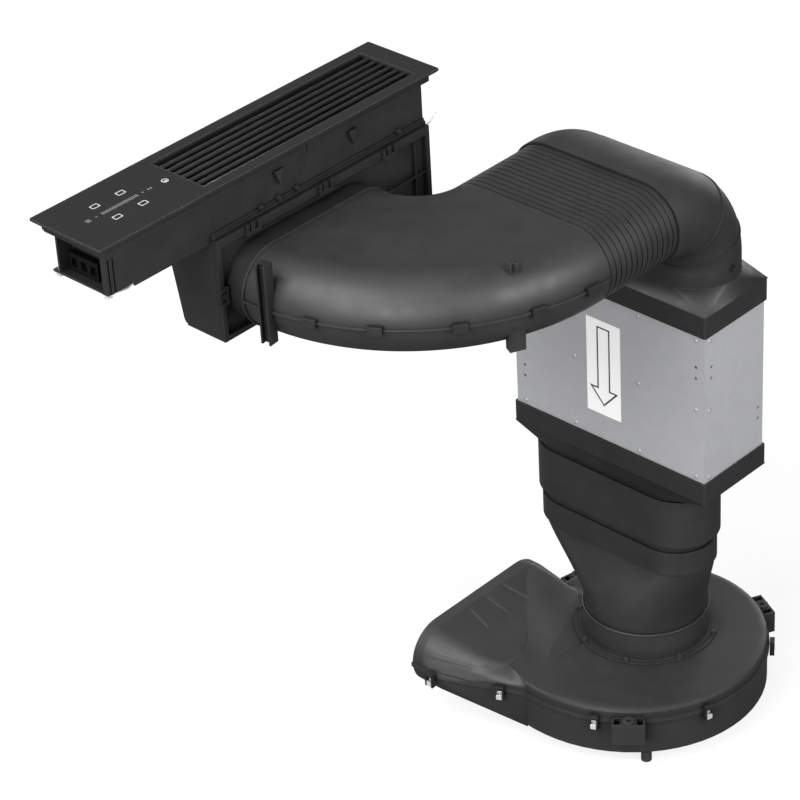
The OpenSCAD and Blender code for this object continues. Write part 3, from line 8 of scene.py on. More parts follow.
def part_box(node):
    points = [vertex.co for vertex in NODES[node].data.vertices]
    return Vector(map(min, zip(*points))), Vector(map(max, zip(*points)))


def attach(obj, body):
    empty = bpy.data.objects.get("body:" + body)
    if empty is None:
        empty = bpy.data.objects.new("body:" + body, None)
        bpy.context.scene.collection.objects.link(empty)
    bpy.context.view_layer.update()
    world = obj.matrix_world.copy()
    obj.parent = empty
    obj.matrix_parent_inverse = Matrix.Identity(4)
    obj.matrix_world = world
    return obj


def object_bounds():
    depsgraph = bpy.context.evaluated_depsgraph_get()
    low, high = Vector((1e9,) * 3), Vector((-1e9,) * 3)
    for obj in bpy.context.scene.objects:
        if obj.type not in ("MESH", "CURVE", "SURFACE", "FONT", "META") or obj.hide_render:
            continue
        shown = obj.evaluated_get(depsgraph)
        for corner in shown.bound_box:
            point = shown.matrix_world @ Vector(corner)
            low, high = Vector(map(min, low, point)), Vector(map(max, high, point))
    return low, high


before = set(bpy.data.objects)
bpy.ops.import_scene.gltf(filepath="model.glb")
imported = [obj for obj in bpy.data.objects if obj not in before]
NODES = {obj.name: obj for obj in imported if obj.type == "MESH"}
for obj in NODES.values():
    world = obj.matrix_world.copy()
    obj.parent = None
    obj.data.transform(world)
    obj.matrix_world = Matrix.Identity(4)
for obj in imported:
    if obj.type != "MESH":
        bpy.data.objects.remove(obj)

cad_low, cad_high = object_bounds()
MM = 0.001
WHITE = (1.0, 1.0, 1.0, 1.0)


# ---------- camera: the photograph's viewing angle ----------
VIEW_ANGLES = (44.993, 32.967, -3.478)  # azimuth, elevation and roll, in degrees
CAMERA_PLACE = (2.23277, -2.01471, 1.60572)
FOCAL_PIXELS, FRAME_PIXELS = 3133.56, 800.0
SENSOR_WIDTH = 36.0


def make_camera():
    azimuth, elevation, roll = (math.radians(a) for a in VIEW_ANGLES)
    flat = math.cos(elevation)
    back = Vector((math.sin(azimuth) * flat, -math.cos(azimuth) * flat, math.sin(elevation)))
    level = Vector((math.cos(azimuth), math.sin(azimuth), 0.0))
    rise = back.cross(level)
    right = math.cos(roll) * level + math.sin(roll) * rise
    up = -math.sin(roll) * level + math.cos(roll) * rise
    data = bpy.data.cameras.new("camera")
    data.sensor_width = SENSOR_WIDTH
    data.lens = FOCAL_PIXELS * SENSOR_WIDTH / FRAME_PIXELS
    data.clip_start, data.clip_end = 0.1, 60.0
    camera = bpy.data.objects.new("camera", data)
    x, y, z = CAMERA_PLACE
    camera.matrix_world = Matrix((
        (right.x, up.x, back.x, x),
        (right.y, up.y, back.y, y),
        (right.z, up.z, back.z, z),
        (0.0, 0.0, 0.0, 1.0)))
    bpy.context.scene.collection.objects.link(camera)
    bpy.context.scene.camera = camera


make_camera()


# ---------- shader node helpers: radius, shade reach and height are in mm ----
def node_of(tree, kind, **values):
    n = tree.nodes.new(kind)
    for key, value in values.items():
        setattr(n, key, value)
    return n


def object_point(tree, scale=(1.0, 1.0, 1.0)):
    coord = node_of(tree, "ShaderNodeTexCoord")
    mapping = node_of(tree, "ShaderNodeMapping")
    mapping.inputs["Scale"].default_value = scale
    tree.links.new(coord.outputs["Object"], mapping.inputs["Vector"])
    return mapping.outputs["Vector"]


def noise(tree, point, scale, detail=2.0, rough=0.5):
    n = node_of(tree, "ShaderNodeTexNoise")
    n.inputs["Scale"].default_value = scale
    n.inputs["Detail"].default_value = detail
    n.inputs["Roughness"].default_value = rough
    tree.links.new(point, n.inputs["Vector"])
    return n.outputs["Fac"]


def cells(tree, point, scale):
    n = node_of(tree, "ShaderNodeTexVoronoi", feature="F1")
    n.inputs["Scale"].default_value = scale
    tree.links.new(point, n.inputs["Vector"])
    return n


def spread(tree, value, low=0.0, high=1.0, at=(0.3, 0.7)):
    """Maps the range at onto the range from low to high"""
    n = node_of(tree, "ShaderNodeMapRange")
    n.inputs["From Min"].default_value, n.inputs["From Max"].default_value = at
    n.inputs["To Min"].default_value, n.inputs["To Max"].default_value = low, high
    tree.links.new(value, n.inputs["Value"])
    return n.outputs["Result"]


def scaled(tree, value, factor):
    n = node_of(tree, "ShaderNodeMath", operation="MULTIPLY")
    tree.links.new(value, n.inputs[0])
    n.inputs[1].default_value = factor
    return n.outputs[0]


def blend(tree, share, a, b):
    """Mixes two colours, each a tuple or a node's output"""
    n = node_of(tree, "ShaderNodeMix", data_type="RGBA")
    tree.links.new(share, n.inputs[0])
    for socket, value in ((n.inputs[6], a), (n.inputs[7], b)):
        if isinstance(value, tuple):
            socket.default_value = (*value, 1.0)
        else:
            tree.links.new(value, socket)
    return n.outputs[2]


def mix_shaders(tree, share, a, b):
    n = node_of(tree, "ShaderNodeMixShader")
    for source, socket in zip((share, a, b), n.inputs):
        tree.links.new(source, socket)
    return n.outputs[0]


def rounded_normal(tree, radius):
    n = node_of(tree, "ShaderNodeBevel", samples=6)
    n.inputs["Radius"].default_value = radius * MM
    return n.outputs["Normal"]


def bump(tree, pattern, height, strength, under=None):
    n = node_of(tree, "ShaderNodeBump")
    n.inputs["Distance"].default_value = height * MM
    n.inputs["Strength"].default_value = strength
    tree.links.new(pattern, n.inputs["Height"])
    if under is not None:
        tree.links.new(under, n.inputs["Normal"])
    return n.outputs["Normal"]


def edge_share(tree, radius):
    """How strongly the surface turns within the radius: 0 on flats, 1 on sharp edges"""
    geometry = node_of(tree, "ShaderNodeNewGeometry")
    soft = node_of(tree, "ShaderNodeBevel", samples=4)
    soft.inputs["Radius"].default_value = radius * MM
    dot = node_of(tree, "ShaderNodeVectorMath", operation="DOT_PRODUCT")
    tree.links.new(geometry.outputs["Normal"], dot.inputs[0])
    tree.links.new(soft.outputs["Normal"], dot.inputs[1])
    return spread(tree, dot.outputs["Value"], 1.0, 0.0, (0.75, 0.985))


def open_share(tree, shade_reach):
    """How open the surface lies: 0 in deep corners and gaps, 1 on free faces; it sets where shade is
    painted
    """
    n = node_of(tree, "ShaderNodeAmbientOcclusion", samples=3)
    n.inputs["Distance"].default_value = shade_reach * MM
    return n.outputs["AO"]


def new_material(name):
    m = bpy.data.materials.new(name)
    m.use_nodes = True
    return m, m.node_tree, m.node_tree.nodes["Principled BSDF"]


SOCKETS = {
    "base": "Base Color",
    "rough": "Roughness",
    "gloss": "Specular IOR Level",
    "normal": "Normal",
}


def connect(tree, shader, **sources):
    for key, source in sources.items():
        tree.links.new(source, shader.inputs[SOCKETS[key]])


def shade(colour, factor, lift=0.0):
    return tuple(min(1.0, c * factor + lift) for c in colour)


# ---------- materials: colours are linear, and noise scales are per metre ----------
def plastic(name, colour, roughness=0.50, grain=0.5, radius=0.6, edge_wear_and_highlight=0.3, shade_reach=22.0, gloss=0.5):
    """Moulded plastic: spark-eroded grain, uneven sheen, edges painted lighter as wear and as painted
    highlights, painted shade in corners and gaps
    """
    m, t, b = new_material(name)
    point = object_point(t)
    cloud = spread(t, noise(t, point, 16.0, 3.0))
    base = blend(t, cloud, shade(colour, 0.88), shade(colour, 1.12))
    dust = spread(t, noise(t, point, 240.0, 4.0, 0.65), 0.0, 0.22, (0.56, 0.74))
    base = blend(t, dust, base, shade(colour, 1.5, 0.012))
    # painted highlight: edges made lighter, partly as wear and partly standing in for the light that edges
    # catch
    worn_and_highlit = scaled(t, edge_share(t, 0.9), edge_wear_and_highlight)
    base = blend(t, worn_and_highlit, base, shade(colour, 1.9, 0.02))
    # painted shade: base colour darkened towards 0.3 and specular lowered in corners and gaps, where shade
    # falls
    free = open_share(t, shade_reach)
    base = blend(t, spread(t, free, at=(0.1, 0.8)), shade(colour, 0.3), base)
    sheen = spread(t, noise(t, point, 38.0, 3.0), roughness - 0.05, roughness + 0.07)
    fine = noise(t, point, 1500.0, 2.0, 0.6)
    connect(t, b, base=base, rough=sheen,
            gloss=spread(t, free, 0.16 * gloss, gloss, (0.15, 0.85)),
            normal=bump(t, fine, 0.06, grain, rounded_normal(t, radius)))
    return m


def sheet_steel(name, colour, roughness=0.42):
    """Rolled zinc-coated sheet: faint spangle, rolling lines, soft gloss, painted shade in gaps and
    corners
    """
    m, t, b = new_material(name)
    point = object_point(t)
    flake = node_of(t, "ShaderNodeSeparateColor")
    t.links.new(cells(t, point, 90.0).outputs["Color"], flake.inputs["Color"])
    base = blend(t, flake.outputs["Red"], shade(colour, 0.975), shade(colour, 1.02))
    cloud = spread(t, noise(t, point, 9.0, 3.0), 0.0, 0.3)
    base = blend(t, cloud, base, shade(colour, 0.96))
    # painted shade: colour darkened towards 0.12 in gaps narrower than 14 mm, where shade falls
    free = spread(t, open_share(t, 14.0), at=(0.05, 0.62))
    base = blend(t, free, shade(colour, 0.12), base)
    rolled = object_point(t, (1.0, 1.0, 40.0))
    lines = noise(t, rolled, 60.0, 4.0, 0.6)
    connect(t, b, base=base,
            rough=spread(t, lines, roughness - 0.05, roughness + 0.06),
            normal=bump(t, lines, 0.03, 0.25, rounded_normal(t, 0.5)))
    b.inputs["Metallic"].default_value = 0.4
    return m


def plated(name, colour, roughness, metallic=0.75):
    """Bright or dull plated metal"""
    m, t, b = new_material(name)
    point = object_point(t)
    cloud = spread(t, noise(t, point, 90.0, 3.0))
    sheen = noise(t, point, 400.0, 3.0)
    connect(t, b, base=blend(t, cloud, shade(colour, 0.9), shade(colour, 1.05)),
            rough=spread(t, sheen, roughness - 0.06, roughness + 0.08),
            normal=bump(t, noise(t, point, 900.0), 0.02, 0.2, rounded_normal(t, 0.35)))
    b.inputs["Metallic"].default_value = metallic
    return m


def black_glass(name):
    """Black glass ceramic: deep, faintly mottled in gloss, with a ground edge painted lighter, partly as
    painted highlight
    """
    m, t, b = new_material(name)
    point = object_point(t)
    speck = spread(t, noise(t, point, 700.0), at=(0.45, 0.75))
    base = blend(t, speck, (0.0105, 0.0108, 0.011), (0.017, 0.0174, 0.0178))
    # the lighter edge is partly the ground edge and partly a painted highlight
    ground_edge_and_highlight = scaled(t, edge_share(t, 1.3), 0.4)
    connect(t, b, base=blend(t, ground_edge_and_highlight, base, (0.24, 0.245, 0.25)),
            rough=spread(t, noise(t, point, 20.0, 4.0), 0.11, 0.19),
            normal=rounded_normal(t, 0.5))
    b.inputs["IOR"].default_value = 1.52
    b.inputs["Coat Weight"].default_value = 0.25
    b.inputs["Coat Roughness"].default_value = 0.04
    return m


def rubber(name, colour):
    m, t, b = new_material(name)
    point = object_point(t)
    cloud = spread(t, noise(t, point, 120.0, 4.0))
    connect(t, b, base=blend(t, cloud, shade(colour, 0.8), shade(colour, 1.7)),
            rough=spread(t, noise(t, point, 60.0), 0.62, 0.78),
            normal=bump(t, noise(t, point, 2200.0), 0.05, 0.5, rounded_normal(t, 0.5)))
    return m


def printed(name, colour, roughness):
    """Ink or coated paper"""
    m, t, b = new_material(name)
    point = object_point(t)
    cloud = spread(t, noise(t, point, 900.0))
    connect(t, b, base=blend(t, cloud, shade(colour, 0.94), shade(colour, 1.03)),
            rough=spread(t, noise(t, point, 300.0), roughness - 0.05, roughness + 0.05))
    return m


def pellets(name):
    """Carbon pellets: dark round grains, painted lighter at their middles, with painted shade between them
    """
    m, t, b = new_material(name)
    far = cells(t, object_point(t), 330.0).outputs["Distance"]
    # painted shade: darker between the pellets and lighter at their middles
    grain = spread(t, far, at=(0.1, 0.7))
    height = spread(t, far, 1.0, 0.0, (0.0, 0.8))
    connect(t, b, base=blend(t, grain, (0.035, 0.035, 0.036), (0.004, 0.004, 0.004)),
            normal=bump(t, height, 1.2, 0.8))
    b.inputs["Roughness"].default_value = 0.75
    return m


M = {
    "black": plastic("black_plastic", (0.012, 0.0122, 0.0122), 0.46, edge_wear_and_highlight=0.5),
    "frame": plastic("frame_plastic", (0.012, 0.0122, 0.0122), 0.48, edge_wear_and_highlight=0.45),
    "tower": plastic("tower_plastic", (0.0135, 0.0138, 0.0138), edge_wear_and_highlight=0.35),
    "housing": plastic("housing_plastic", (0.019, 0.0195, 0.0198)),
    "duct": plastic("duct_plastic", (0.0155, 0.016, 0.016), 0.52, grain=0.6),
    "cap": plastic("cap_plastic", (0.0145, 0.015, 0.015), grain=0.6),
    "fan": plastic("fan_plastic", (0.020, 0.0205, 0.0205), grain=0.6),
    "grille": plastic("grille_plastic", (0.010, 0.0103, 0.0105), 0.40, grain=0.3, edge_wear_and_highlight=0.5),
    "wheel": plastic("wheel_plastic", (0.05, 0.051, 0.052), 0.45),
    "glass": black_glass("black_glass"),
    "panel": sheet_steel("panel_steel", (0.50, 0.504, 0.515)),
    "rack": sheet_steel("rack_steel", (0.42, 0.42, 0.43), 0.36),
    "bright": plated("bright_steel", (0.80, 0.80, 0.81), 0.3, metallic=0.5),
    # socket block: near-black, and painted shade reaches 40 mm into the housing's open end
    "socket": plastic("socket_plastic", (0.004, 0.004, 0.004), 0.6, edge_wear_and_highlight=0.05, shade_reach=40.0, gloss=0.12),
    "screw": plated("screw_steel", (0.07, 0.07, 0.072), 0.4, metallic=0.6),
    "rivet": plated("rivet_steel", (0.42, 0.424, 0.432), 0.45, metallic=0.4),
    "dull": plated("dull_steel", (0.36, 0.37, 0.38), 0.34),
    "mesh": plated("mesh_aluminium", (0.52, 0.52, 0.53), 0.3),
    "rubber": rubber("soft_rubber", (0.018, 0.018, 0.018)),
    "board": plastic("board_lacquer", (0.02, 0.07, 0.04), 0.3, grain=0.2),
    "can": plated("can_metal", (0.30, 0.31, 0.33), 0.3),
    "stator": plastic("stator_lacquer", (0.10, 0.10, 0.105), 0.35, grain=0.4),
    "carbon": pellets("carbon_pellets"),
    "ink": printed("white_ink", (0.62, 0.63, 0.64), 0.4),
    "dim_ink": printed("grey_ink", (0.17, 0.175, 0.18), 0.4),
    "paper": printed("label_paper", (0.96, 0.96, 0.96), 0.5),
    "black_ink": printed("black_ink", (0.012, 0.012, 0.012), 0.4),
}

FINISH = {
    # the worktop unit
    "cover_plate": "glass", "plate_carrier": "frame", "mounting_frame": "frame", "inlet_grille": "grille",
    "touch_board": "board", "power_board": "board", "board_parts": "can", "socket_block": "socket",
    "filter_frame": "rack", "filter_mesh": "mesh", "suction_tower": "tower", "collecting_tray": "tower",
    "control_housing": "tower", "clamp_straps": "bright", "clamp_screws": "bright", "end_spring": "bright",
    "guide_rail": "black", "duct_flange": "frame", "flange_clips": "black", "flange_gasket": "rubber",
    # the ducts
    "elbow_upper_shell": "housing", "elbow_lower_shell": "housing", "elbow_clips": "black",
    "elbow_post": "black", "ribbed_duct": "duct", "vertical_elbow": "duct", "flat_sleeve": "duct",
    "transition_piece": "duct", "transition_gasket": "rubber",
    # the air cleaning box
    "box_top_cap": "cap", "box_bottom_cap": "cap", "box_rear_shell": "panel", "box_front_panel": "panel",
    "box_rivets": "rivet", "filter_rack": "rack", "carbon_filters": "carbon",
    # the fan
    "fan_collar": "fan", "collar_screws": "screw", "inlet_cone": "fan", "fan_upper_shell": "fan",
    "fan_lower_shell": "fan", "motor_mount": "dull", "motor_stator": "stator", "motor_shaft": "bright",
    "rotor_cup": "can", "impeller": "wheel", "shell_latches": "black", "spring_clips": "bright",
    "lug_grommets": "rubber", "rubber_feet": "rubber",
}


# ---------- geometry modifiers on the frame's meshes ----------
WELD = 0.008 * MM
SMOOTH_ANGLE = math.radians(28.0)


def geometry_group(name):
    """A modifier's node group, with its input welded so that smoothing runs across faces"""
    g = bpy.data.node_groups.new(name, "GeometryNodeTree")
    g.interface.new_socket("Geometry", in_out="INPUT", socket_type="NodeSocketGeometry")
    g.interface.new_socket("Geometry", in_out="OUTPUT", socket_type="NodeSocketGeometry")
    start, end = g.nodes.new("NodeGroupInput"), g.nodes.new("NodeGroupOutput")
    weld = g.nodes.new("GeometryNodeMergeByDistance")
    weld.inputs["Distance"].default_value = WELD
    g.links.new(start.outputs[0], weld.inputs["Geometry"])
    return g, weld.outputs[0], end.inputs[0]


def soft_edges_group():
    """Smooth shading, with edges over the angle kept sharp"""
    g, welded, result = geometry_group("soft_edges")
    faces = node_of(g, "GeometryNodeSetShadeSmooth", domain="FACE")
    edges = node_of(g, "GeometryNodeSetShadeSmooth", domain="EDGE")
    edges.inputs["Shade Smooth"].default_value = False
    angle = g.nodes.new("GeometryNodeInputMeshEdgeAngle")
    over = node_of(g, "FunctionNodeCompare", data_type="FLOAT", operation="GREATER_THAN")
    over.inputs[1].default_value = SMOOTH_ANGLE
    g.links.new(welded, faces.inputs["Geometry"])
    g.links.new(faces.outputs[0], edges.inputs["Geometry"])
    g.links.new(angle.outputs["Unsigned Angle"], over.inputs[0])
    g.links.new(over.outputs[0], edges.inputs["Selection"])
    g.links.new(edges.outputs[0], result)
    return g


# The fan outlet's root: the mould blends it into the scroll, above the parting line, which climbs
# from the scroll to the mouth. Nothing near that line, the mouth or the rest of the scroll moves.
PARTING_X, PARTING_Z = (59.0, 196.0), (-773.3, -785.3)
ABOVE_PARTING = (3.5, 9.0)
MOUTH_SIDE, SCROLL_SIDE = (74.0, 92.0), (250.0, 205.0)
ROOT_CUTS, ROOT_ROUNDS = 3, 14


def blend_root_group():
    g, welded, result = geometry_group("blend_root")
    link = g.links.new
    place = g.nodes.new("GeometryNodeInputPosition")
    xyz = g.nodes.new("ShaderNodeSeparateXYZ")
    link(place.outputs[0], xyz.inputs[0])

    def mapped(value, source, target=(0.0, 1.0), smooth=True):
        n = g.nodes.new("ShaderNodeMapRange")
        if smooth:
            n.interpolation_type = "SMOOTHSTEP"
        low, high = (v * MM for v in source)
        n.inputs["From Min"].default_value, n.inputs["From Max"].default_value = low, high
        n.inputs["To Min"].default_value, n.inputs["To Max"].default_value = target
        link(value, n.inputs["Value"])
        return n.outputs["Result"]

    def math_of(operation, a, b):
        n = node_of(g, "ShaderNodeMath", operation=operation)
        link(a, n.inputs[0])
        link(b, n.inputs[1])
        return n.outputs[0]

    parting = mapped(xyz.outputs["X"], PARTING_X, [z * MM for z in PARTING_Z], smooth=False)
    above = mapped(math_of("SUBTRACT", xyz.outputs["Z"], parting), ABOVE_PARTING)
    past_mouth = mapped(xyz.outputs["X"], MOUTH_SIDE)
    before_scroll = mapped(xyz.outputs["X"], SCROLL_SIDE)
    share = math_of("MULTIPLY", above, math_of("MULTIPLY", past_mouth, before_scroll))

    cut = g.nodes.new("GeometryNodeSubdivideMesh")
    cut.inputs["Level"].default_value = ROOT_CUTS
    blur = node_of(g, "GeometryNodeBlurAttribute", data_type="FLOAT_VECTOR")
    blur.inputs["Iterations"].default_value = ROOT_ROUNDS
    link(place.outputs[0], [q for q in blur.inputs if q.enabled and q.name == "Value"][0])
    mixed = node_of(g, "ShaderNodeMix", data_type="VECTOR")
    link(share, mixed.inputs[0])
    link(place.outputs[0], mixed.inputs[4])
    link([q for q in blur.outputs if q.enabled][0], mixed.inputs[5])
    move = g.nodes.new("GeometryNodeSetPosition")
    link(welded, cut.inputs["Mesh"])
    link(cut.outputs[0], move.inputs["Geometry"])
    link(mixed.outputs[1], move.inputs["Position"])
    link(move.outputs[0], result)
    return g


def add_modifier(obj, group):
    obj.modifiers.new(group.name, "NODES").node_group = group


def dress_frame():
    soft_edges = soft_edges_group()
    add_modifier(NODES["fan_upper_shell"], blend_root_group())
    for name, obj in NODES.items():
        obj.data.materials.clear()
        obj.data.materials.append(M[FINISH[name]])
        if "custom_normal" in obj.data.attributes:
            obj.data.attributes.remove(obj.data.attributes["custom_normal"])
        add_modifier(obj, soft_edges)


dress_frame()


# ---------- small pieces in mesh code: outlines in mm, (u, v) on the face and w off it ----------
def piece(name, bm, material, body="vent"):
    mesh = bpy.data.meshes.new(name)
    bmesh.ops.recalc_face_normals(bm, faces=bm.faces)
    bm.to_mesh(mesh)
    bm.free()
    mesh.materials.append(M[material])
    obj = bpy.data.objects.new(name, mesh)
    bpy.context.scene.collection.objects.link(obj)
    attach(obj, body)


def plate(bm, outline, to_world, thickness, holes=()):
    """A thin plate from an outline, with to_world mapping (u, v, w) to metres"""
    edges = []
    for loop in (outline, *holes):
        vs = [bm.verts.new(to_world(u, v, thickness)) for u, v in loop]
        edges += [bm.edges.new((vs[i], vs[(i + 1) % len(vs)])) for i in range(len(vs))]
    made = bmesh.ops.triangle_fill(bm, use_beauty=True, use_dissolve=False, edges=edges)
    faces = [f for f in made["geom"] if isinstance(f, bmesh.types.BMFace)]
    out = bmesh.ops.extrude_face_region(bm, geom=faces)
    moved = [v for v in out["geom"] if isinstance(v, bmesh.types.BMVert)]
    down = to_world(0, 0, 0) - to_world(0, 0, thickness)
    bmesh.ops.translate(bm, verts=moved, vec=down)


def rounded_outline(cx, cy, w, h, r, steps=6):
    points = []
    for sx, sy, first in ((1, 1, 0), (-1, 1, 90), (-1, -1, 180), (1, -1, 270)):
        for i in range(steps + 1):
            a = math.radians(first + 90 * i / steps)
            x = cx + sx * (w / 2 - r) + r * math.cos(a)
            y = cy + sy * (h / 2 - r) + r * math.sin(a)
            points.append((x, y))
    return points


def ring_outline(cx, cy, r, steps=32):
    turns = [2 * math.pi * i / steps for i in range(steps)]
    return [(cx + r * math.cos(a), cy + r * math.sin(a)) for a in turns]


def offset_outline(points, distance):
    out = []
    for i, (x1, y1) in enumerate(points):
        (x0, y0), (x2, y2) = points[i - 1], points[(i + 1) % len(points)]
        a, b = Vector((x1 - x0, y1 - y0)).normalized(), Vector((x2 - x1, y2 - y1)).normalized()
        na, nb = Vector((a.y, -a.x)), Vector((b.y, -b.x))
        mid = (na + nb).normalized()
        k = distance / max(0.35, mid.dot(na))
        out.append((x1 + mid.x * k, y1 + mid.y * k))
    return out


# ---------- the label on the air cleaning box: plain paper with a bare arrow ----------
LABEL_X, LABEL_Z = 214.9, -375.2
LABEL_WIDTH, LABEL_HEIGHT, PAPER = 51.2, 129.8, 0.16
ARROW_SHAFT, ARROW_HEAD = 8.8, 19.4  # half widths
ARROW_TOP, ARROW_NECK, ARROW_TIP = -320.2, -404.6, -426.4
ARROW_LINE, INK = 1.0, 0.04  # half width and thickness of the printed line
INK_START = 0.17
front_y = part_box("box_front_panel")[0].y


def on_front(u, v, w):
    return Vector((u * MM, front_y - w * MM, v * MM))


def on_paper(u, v, w):
    return on_front(u, v, w + INK_START)


def make_label():
    bm = bmesh.new()
    plate(bm, rounded_outline(LABEL_X, LABEL_Z, LABEL_WIDTH, LABEL_HEIGHT, 1.0), on_front, PAPER)
    piece("label_paper", bm, "paper")
    half = ((-ARROW_SHAFT, ARROW_TOP), (-ARROW_SHAFT, ARROW_NECK), (-ARROW_HEAD, ARROW_NECK))
    left = [(LABEL_X + x, z) for x, z in half]
    right = [(LABEL_X - x, z) for x, z in reversed(half)]
    arrow = [*left, (LABEL_X, ARROW_TIP), *right]
    bm = bmesh.new()
    inner = offset_outline(arrow, -ARROW_LINE)
    plate(bm, offset_outline(arrow, ARROW_LINE), on_paper, INK, [inner])
    piece("label_arrow", bm, "black_ink")


make_label()


# ---------- touch controls printed on the glass ----------
PRINT = 0.03
MIDDLE_X = -1.2  # the line that the slider and the round keys lie on
KEY_XS, KEY_YS = (-19.2, 16.2), (-196.8, -160.0)
KEY_WIDTH, KEY_HEIGHT, KEY_LINE, KEY_CORNER = 7.6, 10.6, 1.0, 1.3
ROUND_KEY_Y, ROUND_KEY_R, ROUND_KEY_FILL = -112.6, 4.1, 2.3
SLIDER_Y, SLIDER_LENGTH, TICKS = -202.0, 49.0, 19
TICK_LONG, TICK_SHORT, TICK_LINE = 5.6, 4.6, 1.5
MINUS_Y, MINUS_LENGTH = -210.9, 2.8
PLUS_Y, PLUS_LENGTH, SIGN_LINE = -144.6, 3.4, 1.2
FAN_KEY_Y, FAN_KEY_R, BLADE_R, HUB_R = -222.3, 2.3, 1.3, 0.7
WEDGES_Y, WEDGE_PITCH, WEDGE_LENGTH, WEDGE_HALF = -137.4, 3.6, 3.0, 2.4
glass_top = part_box("cover_plate")[1].z


def on_glass(u, v, w):
    return Vector((u * MM, v * MM, glass_top + w * MM))


def printed_shape(bm, outline, holes=()):
    plate(bm, outline, on_glass, PRINT, holes)


def bar_mark(bm, y, w, h):
    printed_shape(bm, rounded_outline(MIDDLE_X, y, w, h, min(w, h) * 0.3, 3))


def make_key_marks():
    bm = bmesh.new()
    inset = 2 * KEY_LINE
    for x in KEY_XS:
        for y in KEY_YS:
            outer = rounded_outline(x, y, KEY_WIDTH, KEY_HEIGHT, KEY_CORNER)
            inner = rounded_outline(x, y, KEY_WIDTH - inset, KEY_HEIGHT - inset, KEY_CORNER - KEY_LINE)
            printed_shape(bm, outer, [inner])
    # round key: a ring with a filled half
    ring = [ring_outline(MIDDLE_X, ROUND_KEY_Y, r) for r in (ROUND_KEY_R, ROUND_KEY_R - KEY_LINE)]
    printed_shape(bm, ring[0], ring[1:])
    turns = [math.radians(a) for a in range(-90, 91, 12)]
    half = [(ROUND_KEY_FILL * math.cos(a), ROUND_KEY_FILL * math.sin(a)) for a in turns]
    printed_shape(bm, [(MIDDLE_X + x, ROUND_KEY_Y + y) for x, y in half])
    piece("key_marks", bm, "ink")


def make_slider_marks():
    bm = bmesh.new()
    for i in range(TICKS):
        width = TICK_SHORT if i % 3 else TICK_LONG
        bar_mark(bm, SLIDER_Y + i * SLIDER_LENGTH / (TICKS - 1), width, TICK_LINE)
    bar_mark(bm, MINUS_Y, SIGN_LINE, MINUS_LENGTH)
    bar_mark(bm, PLUS_Y, SIGN_LINE, PLUS_LENGTH)
    bar_mark(bm, PLUS_Y, PLUS_LENGTH, SIGN_LINE)
    # four round blades about a hub
    for k in range(4):
        a = math.radians(45 + 90 * k)
        x, y = MIDDLE_X + FAN_KEY_R * math.cos(a), FAN_KEY_Y + FAN_KEY_R * math.sin(a)
        printed_shape(bm, ring_outline(x, y, BLADE_R, 14))
    printed_shape(bm, ring_outline(MIDDLE_X, FAN_KEY_Y, HUB_R, 12))
    # two wedges, one behind the other
    for y in (WEDGES_Y, WEDGES_Y + WEDGE_PITCH):
        foot = [(MIDDLE_X - WEDGE_HALF, y), (MIDDLE_X + WEDGE_HALF, y)]
        printed_shape(bm, [*foot, (MIDDLE_X, y + WEDGE_LENGTH)])
    piece("slider_marks", bm, "dim_ink")


make_key_marks()
make_slider_marks()


# ---------- the floor, the world and the lamps ----------
FLOOR_HALF, FLOOR_CELLS, FLOOR_GAP = 8.0, 12, 0.0006
FLOOR_LIT, FLOOR_SEEN = (0.10, 0.10, 0.10), (0.82, 0.82, 0.82)  # for light, and for the camera
FLOOR_GLOW = 0.8
WORLD_LIT, WORLD_SEEN = 0.2, 1.0


def floor_material():
    m, t, b = new_material("floor")
    b.inputs["Roughness"].default_value = 0.8
    b.inputs["Specular IOR Level"].default_value = 0.1
    glow = node_of(t, "ShaderNodeEmission")
    glow.inputs["Color"].default_value = WHITE
    seen = node_of(t, "ShaderNodeLightPath").outputs["Is Camera Ray"]
    connect(t, b, base=blend(t, seen, FLOOR_LIT, FLOOR_SEEN))
    surface = mix_shaders(t, scaled(t, seen, FLOOR_GLOW), b.outputs[0], glow.outputs[0])
    t.links.new(surface, t.nodes["Material Output"].inputs["Surface"])
    return m


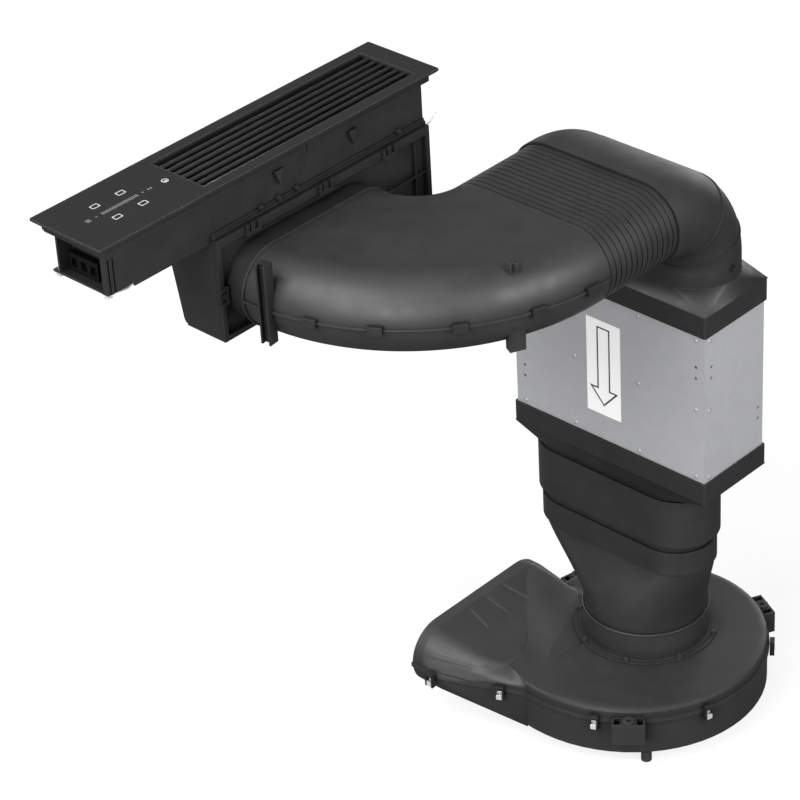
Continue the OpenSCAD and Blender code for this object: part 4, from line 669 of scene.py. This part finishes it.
def make_floor():
    z = cad_low.z - FLOOR_GAP
    steps = range(FLOOR_CELLS + 1)
    ticks = [-FLOOR_HALF + 2 * FLOOR_HALF * i / FLOOR_CELLS for i in steps]
    bm = bmesh.new()
    grid = [[bm.verts.new((x, y, z)) for y in ticks] for x in ticks]
    for i in range(FLOOR_CELLS):
        for j in range(FLOOR_CELLS):
            bm.faces.new((grid[i][j], grid[i + 1][j], grid[i + 1][j + 1], grid[i][j + 1]))
    mesh = bpy.data.meshes.new("floor")
    bm.to_mesh(mesh)
    bm.free()
    floor = bpy.data.objects.new("floor", mesh)
    bpy.context.scene.collection.objects.link(floor)
    mesh.materials.append(floor_material())


def make_world():
    world = bpy.data.worlds.new("world")
    bpy.context.scene.world = world
    world.use_nodes = True
    t = world.node_tree
    low, high = t.nodes["Background"], node_of(t, "ShaderNodeBackground")
    for background, strength in ((low, WORLD_LIT), (high, WORLD_SEEN)):
        background.inputs["Color"].default_value = WHITE
        background.inputs["Strength"].default_value = strength
    path = node_of(t, "ShaderNodeLightPath")
    seen = node_of(t, "ShaderNodeMath", operation="MAXIMUM")
    t.links.new(path.outputs["Is Camera Ray"], seen.inputs[0])
    t.links.new(path.outputs["Is Transmission Ray"], seen.inputs[1])
    surface = mix_shaders(t, seen.outputs[0], low.outputs[0], high.outputs[0])
    t.links.new(surface, t.nodes["World Output"].inputs["Surface"])


LAMP_TARGET = Vector((0.16, 0.16, -0.42))
LAMPS = (
    # name, place, width and height in metres, power in watts
    ("key", (-0.2, -2.3, 2.1), (3.0, 2.2), 150.0),
    ("fill", (1.5, -2.8, 0.6), (2.0, 1.0), 85.0),
    ("side", (2.9, 0.3, 1.1), (1.6, 1.4), 85.0),
    ("top", (-0.5, -0.2, 2.3), (1.8, 1.8), 10.0),
    ("back", (-2.7, 1.0, -0.05), (1.6, 1.2), 40.0),
    ("far", (-0.6, 3.2, 0.1), (1.6, 1.2), 24.0),
)


def area_light(name, place, size, power):
    data = bpy.data.lights.new(name, "AREA")
    data.shape = "RECTANGLE"
    data.size, data.size_y = size
    data.energy = power
    obj = bpy.data.objects.new(name, data)
    obj.location = place
    obj.rotation_mode = "QUATERNION"
    obj.rotation_quaternion = (Vector(place) - LAMP_TARGET).to_track_quat("Z", "Y")
    bpy.context.scene.collection.objects.link(obj)


make_floor()
make_world()
for lamp in LAMPS:
    area_light(*lamp)

bpy.context.scene.view_settings.view_transform = "Standard"
